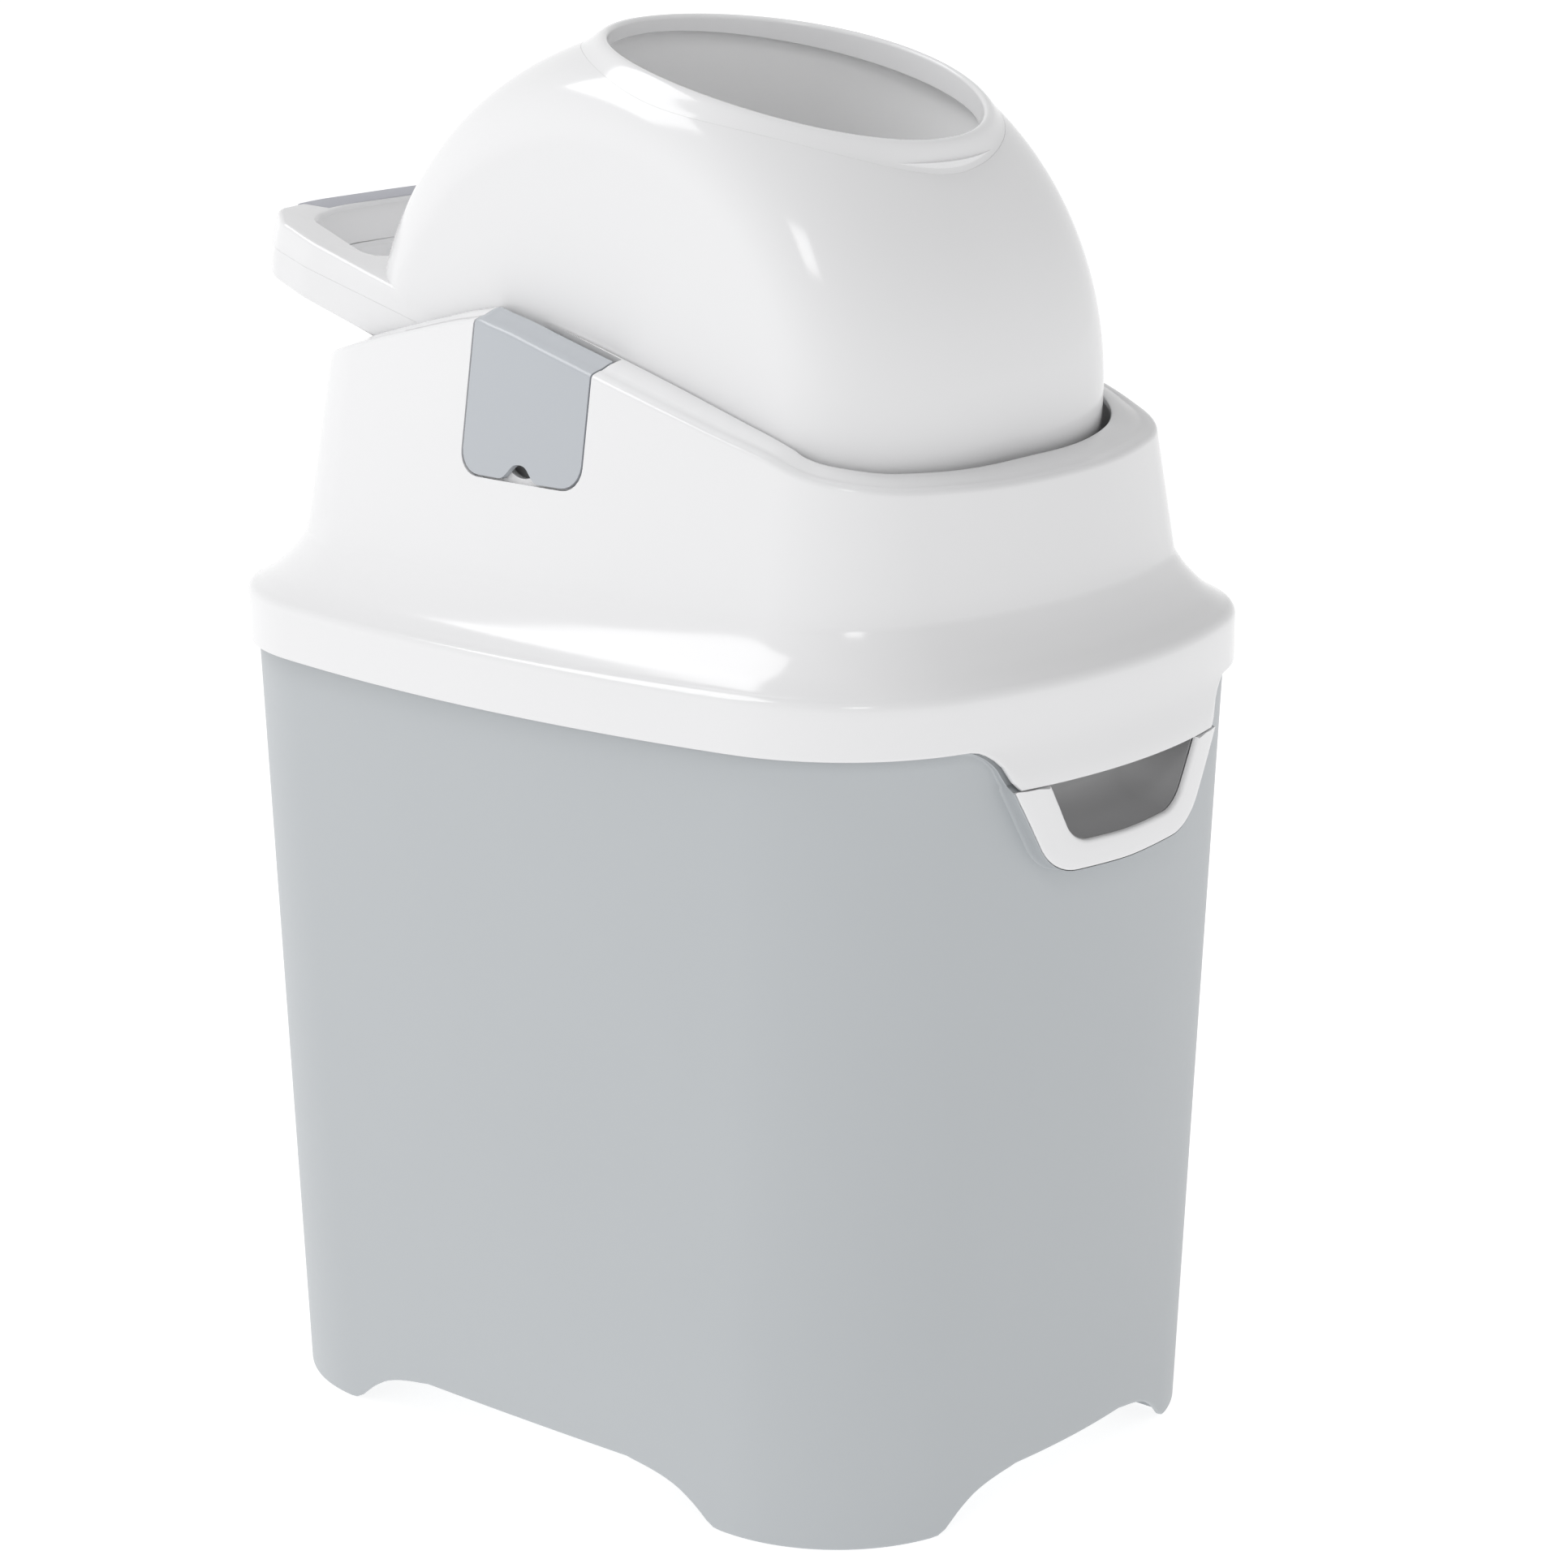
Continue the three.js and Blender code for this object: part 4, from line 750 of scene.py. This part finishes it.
def clip_sheet(grow, inward, notch):
    """Sheet in the lid's outer face over the left side clip's outline, up and in over the rim."""
    low = CLIP_LOW_Z - grow
    front, rear = CLIP_FRONT_Y - grow, CLIP_REAR_Y + grow
    turns = [math.radians(15 * i) for i in range(7)]
    ys = [front + CLIP_CORNER * (1 - math.cos(t)) for t in turns] + [-10, -6, -3.5]
    ys += [-2.1 + 0.7 * i for i in range(28)] + [18.5, 21, 24]
    ys += [rear - CLIP_CORNER * (1 - math.cos(t)) for t in reversed(turns)]
    columns = []
    for y in ys:
        edge = min(y - front, rear - y, CLIP_CORNER)
        lift = CLIP_CORNER - math.sqrt(max(0, CLIP_CORNER**2 - (CLIP_CORNER - edge) ** 2))
        lift += notch * eased(notch_shares, abs(y - NOTCH_Y) / NOTCH_HALF_WIDTH)
        base = low + lift
        top = wave_z(y)
        column = []
        for share in (0, 0.06, 0.15, 0.3, 0.5, 0.7, 0.88, 1):
            z = base + (top - RIM_BEND_DROP - base) * share
            column.append((neck_inset(z), z))
        column += [(neck_inset(top) + inset, top + rise) for inset, rise in rim_bend]
        for inset in (6, 9, inward):
            column.append((neck_inset(top) + inset, top + eased(rim_shares, inset)))
        columns.append([Vector((-side_x(y, inset), y, z)) for inset, z in column])
    return columns


def clip_slab(grow, inward, over, thickness, notch=0):
    """Closed slab on the clip's sheet, lifted over the lid's face and given its thickness inwards."""
    slab = bmesh.new()
    raise_wall(slab, clip_sheet(grow, inward, notch), closed=False)
    bmesh.ops.recalc_face_normals(slab, faces=slab.faces)
    slab.normal_update()
    outward = 1 if sum(f.normal.x for f in slab.faces) < 0 else -1
    for vert in slab.verts:
        vert.co += vert.normal * outward * over
    bmesh.ops.solidify(slab, geom=slab.faces, thickness=thickness * outward)
    return slab


for mirrored in (Matrix.Identity(4), Matrix.Scale(-1, 4, (1, 0, 0))):
    pad = clip_slab(grow=3, inward=11, over=-1.2, thickness=4)
    carve(housing, finish_piece("pad", pad, BIN_PLACE @ mirrored), "UNION")
    pocket = clip_slab(grow=0.8, inward=16, over=3, thickness=5.8)
    carve(housing, finish_piece("pocket", pocket, BIN_PLACE @ mirrored))
    bm = bmesh.new()
    bmesh.ops.create_cone(
        bm, cap_ends=True, segments=64, radius1=SCOOP_RADIUS, radius2=SCOOP_RADIUS, depth=SCOOP_DEPTH
    )
    bmesh.ops.rotate(bm, cent=(0, 0, 0), matrix=Matrix.Rotation(math.radians(90), 3, "Y"), verts=bm.verts)
    bmesh.ops.scale(bm, vec=(1, 1, SCOOP_HEIGHT_SHARE), verts=bm.verts)
    bmesh.ops.translate(bm, vec=(SCOOP_X, NOTCH_Y, SCOOP_Z), verts=bm.verts)
    carve(housing, finish_piece("finger_scoop", bm, BIN_PLACE @ mirrored))

# The hinge's lugs, and a saddle on each side that is open at the top for the drum's journal.
LUG_RADIUS = 6.5
LUG_INNER_Y = 182.9
SADDLE_X = 89.2
SADDLE_THICKNESS = 12.5
SADDLE_TOP_Z = 416.6
SADDLE_LOW_Z = 379.6
SADDLE_HALF_WIDTH = 17
SLOT_RADIUS = 10.4
bm = bmesh.new()
lug = [Vector((HINGE_Y - LUG_RADIUS * math.cos(t), HINGE_Z - LUG_RADIUS * math.sin(t))) for t in half_turn]
lug += [Vector((BAND_HALF_LENGTH, 315)), Vector((LUG_INNER_Y, 315)), Vector((LUG_INNER_Y, SKIRT_Z))]
for side in (-HINGE_X, HINGE_X):
    prism(bm, side - LUG_RADIUS, lug, 2 * LUG_RADIUS)
saddle = [(-SADDLE_HALF_WIDTH, SADDLE_TOP_Z), (-SLOT_RADIUS, SADDLE_TOP_Z)]
for turn in [math.pi + i * math.pi / 16 for i in range(17)]:
    saddle.append((SLOT_RADIUS * math.cos(turn), PIVOT_Z + SLOT_RADIUS * math.sin(turn)))
saddle += [(SLOT_RADIUS, SADDLE_TOP_Z), (SADDLE_HALF_WIDTH, SADDLE_TOP_Z)]
saddle += [(SADDLE_HALF_WIDTH, SADDLE_LOW_Z), (-SADDLE_HALF_WIDTH, SADDLE_LOW_Z)]
saddle_shape = [Vector((PIVOT_Y + y, z)) for y, z in saddle]
for side in (-1, 1):
    prism(bm, side * SADDLE_X, saddle_shape, side * SADDLE_THICKNESS)
join_on(housing, finish_piece("lid_extras", bm, BIN_PLACE))
housing.data.materials.clear()
housing.data.materials.append(glossy_white)
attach(housing, "lid")
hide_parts("lid_housing")

# Side clips: grey moulded plates let into the neck, which bridge the rim and hold the drum's journals down.
# Each has a finger notch in its lower edge and lifts off upwards.
TONGUE_X = -95.6
TONGUE_Z = 417
TONGUE_SIZE = (6, 20, 10)
satin_clip = moulded("satin_abs_grey", "B4B8BD", "B1B5BA", 0.22, 1.55, 0.002, 0.00003)
for label, side in (("left", 1), ("right", -1)):
    bm = clip_slab(grow=0, inward=12, over=0, thickness=CLIP_THICKNESS, notch=NOTCH_HEIGHT)
    tongue = bmesh.ops.create_cube(bm, size=1)["verts"]
    bmesh.ops.scale(bm, vec=TONGUE_SIZE, verts=tongue)
    bmesh.ops.translate(bm, vec=(TONGUE_X, PIVOT_Y, TONGUE_Z), verts=tongue)
    clip = finish_piece(f"clip_{label}_plate", bm, BIN_PLACE @ Matrix.Scale(side, 4, (1, 0, 0)))
    clip.data.materials.append(satin_clip)
    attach(clip, f"clip_{label}")
    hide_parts(f"side_clip_{label}")

# Drum: two glossy white shells that meet on the plane through the pivot, in one with the handle's loop.
# The barrel is turned about the pivot's axis, and each shell has a round hole for the mouth.
PIVOT = Matrix.Translation((0, (PIVOT_Y + MODEL_Y) * MILLIMETRE, PIVOT_Z * MILLIMETRE))
DRUM_PLACE = PIVOT @ Matrix.Rotation(TILT, 4, "X") @ Matrix.Scale(MILLIMETRE, 4)
HUB_RADIUS = 60
SHELL_WALL = 3
SEAM_HALF_GAP = 0.03
HALF_SPACE = 500
MOUTH_RADIUS = 79
MOUTH_GAP = 0.06
MOUTH_STEPS = 192
HANDLE_HALF_HEIGHT = 11.4
HANDLE_EDGE_Y = 182.2
HANDLE_ROOT_Y = 40
HANDLE_X = 86.15
HANDLE_ROUND = 1.7
OPENING_Y = 126.5
OPENING_ROUND = 1.8
OPENING_FADE = 9.4
LEAN_SHARE = 0.035
GROOVE_SIZE = (112, 8, 0.4)
GROOVE_Y = 157.2


def spun(bm, profile, axis, steps):
    """Full turn of a chain of points about an axis through the origin."""
    verts = [bm.verts.new(point) for point in profile]
    edges = [bm.edges.new(pair) for pair in zip(verts, verts[1:])]
    geom = verts + edges
    bmesh.ops.spin(bm, geom=geom, cent=(0, 0, 0), axis=axis, angle=2 * math.pi, steps=steps, use_merge=True)
    bmesh.ops.remove_doubles(bm, verts=bm.verts, dist=0.001)


def barrel_side(grow, steps):
    """Half of the barrel's outline, from its disc's rim to its middle."""
    points = []
    for i in range(steps + 1):
        turn = math.pi / 2 * (1 - i / steps)
        along = DRUM_HALF_WIDTH + grow - (SIDE_RUN + grow) * (1 - math.sin(turn) ** (2 / ROUNDNESS))
        disc = DISC_RADIUS + grow / 2
        crown = (DRUM_RADIUS + grow - disc) * max(0, math.cos(turn)) ** (2 / ROUNDNESS)
        points.append(Vector((along, 0, disc + crown)))
    return points


def barrel(grow, steps):
    """The barrel's whole outline over its axis, from one end of the axis to the other."""
    half = DRUM_HALF_WIDTH + grow
    side = barrel_side(grow, steps)
    left = [Vector((-p.x, 0, p.z)) for p in reversed(side)]
    right_disc = [Vector((half, 0, 0)), Vector((half, 0, HUB_RADIUS))]
    left_disc = [Vector((-half, 0, HUB_RADIUS)), Vector((-half, 0, 0))]
    return right_disc + side + left + left_disc


bm = bmesh.new()
spun(bm, barrel(0, 60), (1, 0, 0), 192)
drum_body = finish_piece("drum_body", bm, DRUM_PLACE)
bm = bmesh.new()
spun(bm, barrel(-SHELL_WALL, 12), (1, 0, 0), 96)
carve(drum_body, finish_piece("drum_hollow", bm, DRUM_PLACE))


def loop_chain(corners):
    """Outline of the handle's loop from the corners of its first half, the last of them in the middle."""
    return rounded_chain(both_halves(corners), 12)


handle_outer = loop_chain([
    (HANDLE_X, HANDLE_ROOT_Y, 0), (HANDLE_X, 146, 40), (83, 166, 12), (73.5, 178.3, 10), (50, 181.2, 150),
    (0, HANDLE_EDGE_Y, 600),
])
opening_top = loop_chain([
    (0, OPENING_Y, 0), (72, 126.8, 7), (67, 162.8, 5), (60.6, 166.8, 3), (45, 171.6, 80), (0, 173.2, 400),
])[:-1]
opening_middle = loop_chain([
    (0, OPENING_Y, 0), (72, 126.8, 7), (68.5, 151, 6), (60, 157.8, 6), (45, 159.3, 80), (0, 160.4, 400),
])[:-1]


def handle_lean(y):
    """Height of the loop's middle over the plane through the pivot: it sinks from the rear edge forwards."""
    return -LEAN_SHARE * (HANDLE_EDGE_Y - y)


def handle_row(back, z):
    """Row round the loop's outer face at a height, drawn in by a distance, with the mould's draft."""
    chain = drawn_out(handle_outer, back + (z / HANDLE_HALF_HEIGHT) ** 2 - 0.5)
    return [Vector((p.x, p.y, z + handle_lean(p.y))) for p in chain]


def opening_ring(grow, z):
    """Outline of the loop's opening at a height, widened by a distance."""
    share = max(0, 1 - z / OPENING_FADE) if z > 0 else 1
    chain = [top.lerp(middle, share) for top, middle in zip(opening_top, opening_middle)]
    return [Vector((p.x, p.y, z + handle_lean(p.y))) for p in drawn_out(chain, -grow)]


def rounding(radius, steps):
    """Offsets from an edge and from a face along a quarter round."""
    return [(radius * (1 - math.cos(t)), radius * (1 - math.sin(t)))
            for t in [math.pi / 2 * i / steps for i in range(steps + 1)]]


bm = bmesh.new()
handle_round = rounding(HANDLE_ROUND, 5)
rows = [handle_row(back, HANDLE_HALF_HEIGHT - drop) for back, drop in handle_round]
for z in (HANDLE_HALF_HEIGHT, -HANDLE_HALF_HEIGHT):
    row = []
    for p in handle_outer:
        y = HANDLE_ROOT_Y + (p.y - HANDLE_ROOT_Y) / 5
        row.append(Vector((p.x / 2, y, z + handle_lean(y))))
    rows.append(row)
rows += [handle_row(back, drop - HANDLE_HALF_HEIGHT) for back, drop in reversed(handle_round)]
rows += [handle_row(0, z) for z in (-6, -3, 0, 3, 6)]
raise_wall(bm, rows, closed=False, join_ends=True)
bmesh.ops.holes_fill(bm, edges=bm.edges, sides=0)
loop = finish_piece("handle_loop", bm, DRUM_PLACE)
bm = bmesh.new()
levels = [(OPENING_ROUND, 13)]
levels += [(back, HANDLE_HALF_HEIGHT - drop) for back, drop in reversed(rounding(OPENING_ROUND, 5))]
levels += [(0, 7), (0, 4), (0, 1)]
levels += [(grow, -z) for grow, z in reversed(levels)]
for ring in raise_wall(bm, [opening_ring(grow, z) for grow, z in levels]):
    cap(bm, ring)
carve(loop, finish_piece("handle_opening", bm, DRUM_PLACE))
carve(drum_body, loop, "UNION")
bm = bmesh.new()
groove = bmesh.ops.create_cube(bm, size=1)["verts"]
bmesh.ops.scale(bm, vec=GROOVE_SIZE, verts=groove)
bmesh.ops.translate(bm, vec=(0, GROOVE_Y, 0), verts=groove)
carve(drum_body, finish_piece("parting_line", bm, DRUM_PLACE))

bm = bmesh.new()
hole = MOUTH_RADIUS + MOUTH_GAP
bmesh.ops.create_cone(bm, cap_ends=True, segments=MOUTH_STEPS, radius1=hole, radius2=hole, depth=320)
carve(drum_body, finish_piece("mouth_hole", bm, DRUM_PLACE))
for label, way in (("upper", 1), ("lower", -1)):
    bm = bmesh.new()
    bmesh.ops.create_cube(bm, size=HALF_SPACE)
    bmesh.ops.translate(bm, vec=(0, 0, way * (HALF_SPACE / 2 + SEAM_HALF_GAP)), verts=bm.verts)
    shell = drum_body.copy()
    shell.data = drum_body.data.copy()
    shell.name = f"drum_{label}_shell"
    bpy.context.scene.collection.objects.link(shell)
    carve(shell, finish_piece("half_space", bm, DRUM_PLACE), "INTERSECT")
    shell.data.materials.clear()
    shell.data.materials.append(glossy_white)
    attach(shell, "drum")
    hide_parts(f"drum_shell_{label}")
bpy.data.objects.remove(drum_body)

# Handle grip: a soft grey pad of thermoplastic elastomer over the outer edge of the handle's crossbar.
PAD_HALF_WIDTH = 61
PAD_STEPS = 48
PAD_TOP = 11.6
PAD_PROUD = 0.3
PAD_ROUND = 1.8
PAD_SLANT_SHARE = 0.018
bm = bmesh.new()
pad_section = [(8.2, 11.2), (8.1, 11.48), (7.8, 11.58)]
pad_section += [(back - PAD_PROUD, PAD_TOP - drop) for back, drop in reversed(rounding(PAD_ROUND, 5))]
pad_section += [(back, -z) for back, z in reversed(pad_section)]


def pad_row(x):
    """Section of the pad at a place along the crossbar, slanted towards the pad's ends."""
    a, b = next(pair for pair in zip(handle_outer, handle_outer[1:]) if pair[1].x <= x < pair[0].x)
    edge = a.lerp(b, (a.x - x) / (a.x - b.x)).y
    row = []
    for back, z in pad_section:
        slant = 1 - PAD_SLANT_SHARE * max(0, back)
        row.append(Vector((x * slant, edge - back, z + handle_lean(edge - back))))
    return row


places = [PAD_HALF_WIDTH - 2 * PAD_HALF_WIDTH * i / PAD_STEPS for i in range(PAD_STEPS + 1)]
first, last = raise_wall(bm, [pad_row(x) for x in places])
bmesh.ops.holes_fill(bm, edges=bm.edges, sides=0)
ends = [bm.edges.get(pair) for ring in (first, last) for pair in zip(ring, ring[1:] + ring[:1])]
bmesh.ops.bevel(
    bm, geom=ends, offset=0.5, offset_type="OFFSET", segments=3, profile=0.5, affect="EDGES", material=-1
)
pad = finish_piece("handle_pad", bm, DRUM_PLACE)
soft_grey = moulded("soft_touch_elastomer_grey", "B4B5BC", "B0B1B8", 0.62, 1.5, 0.0016, 0.00006, sheen=0.05)
pad.data.materials.append(soft_grey)
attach(pad, "drum")
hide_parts("handle_grip")

# Mouth lips: white rings pressed into the shells' holes, with a saddle-shaped crest that follows the barrel.
LIP_BORE = 70
LIP_SLOPE_RUN = 7.5
CREST_HEIGHT = 118.4
CREST_SWING = 1.8
CREST_ROUND = 1.5
SLOPE_STEPS = 9


def drum_rise(radius, turn):
    """Height of the barrel over the pivot at a distance from the mouth's axis."""
    return math.sqrt(drum_radius(radius * math.cos(turn), 0, 0) ** 2 - (radius * math.sin(turn)) ** 2)


crest_round = rounding(CREST_ROUND, 6)
lip_foot = [(LIP_BORE, 110.6), (LIP_BORE + 0.3, 110.2), (77.6, 110.2), (77.6, 103.3), (MOUTH_RADIUS, 103.3)]
for label, way in (("upper", 1), ("lower", -1)):
    sections = []
    for k in range(MOUTH_STEPS):
        turn = 2 * math.pi * k / MOUTH_STEPS
        edge = drum_rise(MOUTH_RADIUS, turn)
        crest = CREST_HEIGHT + CREST_SWING * math.cos(2 * turn)
        barrel_slope = drum_rise(MOUTH_RADIUS - 1, turn) - edge
        start = min(LIP_SLOPE_RUN * barrel_slope, 1.6 * (crest - edge))
        section = [(MOUTH_RADIUS, edge - 3)]
        for t in [i / SLOPE_STEPS for i in range(SLOPE_STEPS + 1)]:
            rise = start * (t**3 - 2 * t * t + t) + (crest - edge) * (3 * t * t - 2 * t**3)
            section.append((MOUTH_RADIUS - LIP_SLOPE_RUN * t, edge + rise))
        section += [(LIP_BORE + back, crest - drop) for back, drop in reversed(crest_round[:-1])]
        section += lip_foot
        across, along = math.cos(turn), math.sin(turn) * way
        sections.append([Vector((r * across, r * along, z * way)) for r, z in section])
    bm = bmesh.new()
    raise_wall(bm, sections, join_ends=True)
    lip = finish_piece(f"lip_{label}", bm, DRUM_PLACE)
    lip.data.materials.append(glossy_white)
    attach(lip, "drum")
    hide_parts(f"mouth_lip_{label}")

# Tube: a plain round sleeve of natural polypropylene that the piston slides in.
TUBE_BORE = 74.6
TUBE_RADIUS = 77
TUBE_HALF = 109.9
TUBE_BEVEL = 0.3
tube_white = moulded("natural_polypropylene", "F0F0F0", "ECECED", 0.34, 1.49, 0.003, 0.00002)
inside_low, inside_high = (TUBE_BORE, TUBE_BEVEL - TUBE_HALF), (TUBE_BORE, TUBE_HALF - TUBE_BEVEL)
tube_outline = [inside_low, inside_high, (TUBE_BORE + TUBE_BEVEL, TUBE_HALF), (TUBE_RADIUS, TUBE_HALF)]
tube_outline += [(TUBE_RADIUS, -TUBE_HALF), (TUBE_BORE + TUBE_BEVEL, -TUBE_HALF), inside_low]
bm = bmesh.new()
spun(bm, [Vector((r, 0, z)) for r, z in tube_outline], (0, 0, 1), 160)
tube = finish_piece("tube_sleeve", bm, DRUM_PLACE)
tube.data.materials.append(tube_white)
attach(tube, "drum")
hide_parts("drum_tube")

# Piston: two turned cups with a groove for a sealing ring each, over a steel weight.
CUP_HEIGHT = 35
CUP_RADIUS = 73.6
piston_white = moulded("natural_polypropylene_piston", "D9DADB", "D3D5D7", 0.4, 1.49, 0.003, 0.00003)
middle = CUP_HEIGHT - TUBE_HALF
cup = [(0, 33.6), (52, 33.6), (54, 34), (55, CUP_HEIGHT), (72.6, CUP_HEIGHT), (73.3, 34.7), (CUP_RADIUS, 34)]
cup += [(CUP_RADIUS, 29), (71.6, 29), (71.6, 24), (CUP_RADIUS, 24), (CUP_RADIUS, 0.15)]
cup += [(69.2, 0.15), (69.2, 32.6), (14, 32.6), (14, 2.8), (0, 2.8)]
for label, way in (("upper", 1), ("lower", -1)):
    bm = bmesh.new()
    spun(bm, [Vector((r, 0, middle + z * way)) for r, z in cup], (0, 0, 1), 160)
    piece = finish_piece(f"piston_{label}_cup", bm, DRUM_PLACE)
    piece.data.materials.append(piston_white)
    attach(piece, "piston")
    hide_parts(f"piston_cup_{label}")

# Pieces that keep the CAD's own shape, each with its real finish.
seal_rubber = moulded("nitrile_rubber", "6B6F73", "63676B", 0.75, 1.52, 0.001, 0.00005)
steel = bpy.data.materials.new("brushed_stainless_steel")
steel.use_nodes = True
tree = steel.node_tree
tree.nodes.clear()
where = add_node(tree, "ShaderNodeTexCoord", {}, {}).outputs["Object"]
lines = add_node(tree, "ShaderNodeMapping", {}, {"Vector": where, "Scale": (200.0, 4000.0, 4000.0)})
brushed = lines.outputs["Vector"]
streak = add_node(tree, "ShaderNodeTexNoise", {}, {"Vector": brushed, "Scale": 1.0, "Detail": 2.0})
streaks = streak.outputs["Fac"]
gloss = add_node(tree, "ShaderNodeMapRange", {}, {"Value": streaks, "To Min": 0.26, "To Max": 0.42})
tone = add_node(tree, "ShaderNodeMix", {"data_type": "RGBA"},
                {0: streaks, 6: linear("C6C7C8"), 7: linear("B8BABB")})
shader = add_node(tree, "ShaderNodeBsdfPrincipled", {},
                  {"Base Color": tone.outputs[2], "Roughness": gloss.outputs["Result"], "Metallic": 1.0})
add_node(tree, "ShaderNodeOutputMaterial", {}, {"Surface": shader.outputs["BSDF"]})
finishes = {
    "drum_cradle": glossy_white, "drum_seal": seal_rubber, "lid_gasket": seal_rubber,
    "journal_left": satin_clip, "journal_right": satin_clip,
    "hinge_pin_left": steel, "hinge_pin_right": steel,
    "piston_seal_upper": seal_rubber, "piston_seal_lower": seal_rubber, "piston_weight": steel,
}
finishes.update({f"cradle_screw_{i}": steel for i in range(1, 7)})
for name, finish in finishes.items():
    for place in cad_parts[name].material_slots:
        place.material = finish

# Pale lit floor, soft studio light and the camera at the photograph's angle.
bm = bmesh.new()
bmesh.ops.create_grid(bm, x_segments=1, y_segments=1, size=12)
floor = finish_piece("floor", bm, Matrix.Translation((0, 0, -0.0005)))
pale = bpy.data.materials.new("lit_paper_floor")
pale.use_nodes = True
paper = pale.node_tree.nodes["Principled BSDF"]
paper.inputs["Base Color"].default_value = (0.4, 0.4, 0.4, 1)
paper.inputs["Roughness"].default_value = 0.9
paper.inputs["Emission Color"].default_value = (1, 1, 1, 1)
paper.inputs["Emission Strength"].default_value = 0.8
floor.data.materials.append(pale)

# A white sky whose glow falls off from below to above.
world = bpy.data.worlds.new("studio")
world.use_nodes = True
sky = world.node_tree
toward = add_node(sky, "ShaderNodeTexCoord", {}, {}).outputs["Generated"]
dim_side = (0.16, -0.12, 0.98)
height = add_node(sky, "ShaderNodeVectorMath", {"operation": "DOT_PRODUCT"}, {0: toward, 1: dim_side})
glow = add_node(
    sky,
    "ShaderNodeMapRange",
    {},
    {"Value": height.outputs["Value"], "From Min": -1, "To Min": 1.8, "To Max": 0.35},
)
sky.links.new(glow.outputs["Result"], sky.nodes["Background"].inputs["Strength"])
sky.nodes["Background"].inputs["Color"].default_value = (1, 1, 1, 1)
bpy.context.scene.world = world
bpy.context.scene.view_settings.view_transform = "Standard"
BIN_MIDDLE_Z = 0.4


def soft_light(name, around, above, reach, sides, power):
    """Rectangular area light that points at the bin from a bearing and a height in degrees."""
    lamp = bpy.data.lights.new(name, "AREA")
    lamp.shape = "RECTANGLE"
    lamp.size, lamp.size_y = sides
    lamp.energy = power
    light = bpy.data.objects.new(name, lamp)
    bearing, lift = math.radians(around), math.radians(above)
    way = Vector((math.cos(lift) * math.cos(bearing), math.cos(lift) * math.sin(bearing), math.sin(lift)))
    light.location = way * reach + Vector((0, 0, BIN_MIDDLE_Z))
    light.rotation_euler = (-way).to_track_quat("-Z", "Y").to_euler()
    bpy.context.scene.collection.objects.link(light)


soft_light("rear_softbox", 122, 57, 2.5, (1.75, 1.1), 24)
soft_light("front_softbox", -130, 40, 2.0, (0.36, 0.48), 2.6)

# The camera's lens, place, dip and bearing were fitted to the outlines in the photograph.
CAMERA_PLACE = (-1.18382, -1.02051, 0.6658)
CAMERA_DIP = 0.26464
CAMERA_BEARING = -0.873728
camera = bpy.data.objects.new("camera", bpy.data.cameras.new("camera"))
camera.data.lens = 95.95
camera.data.sensor_width = 36
camera.location = CAMERA_PLACE
camera.rotation_euler = (math.radians(90) - CAMERA_DIP, 0, CAMERA_BEARING)
bpy.context.scene.collection.objects.link(camera)
bpy.context.scene.camera = camera

bpy.context.view_layer.update()
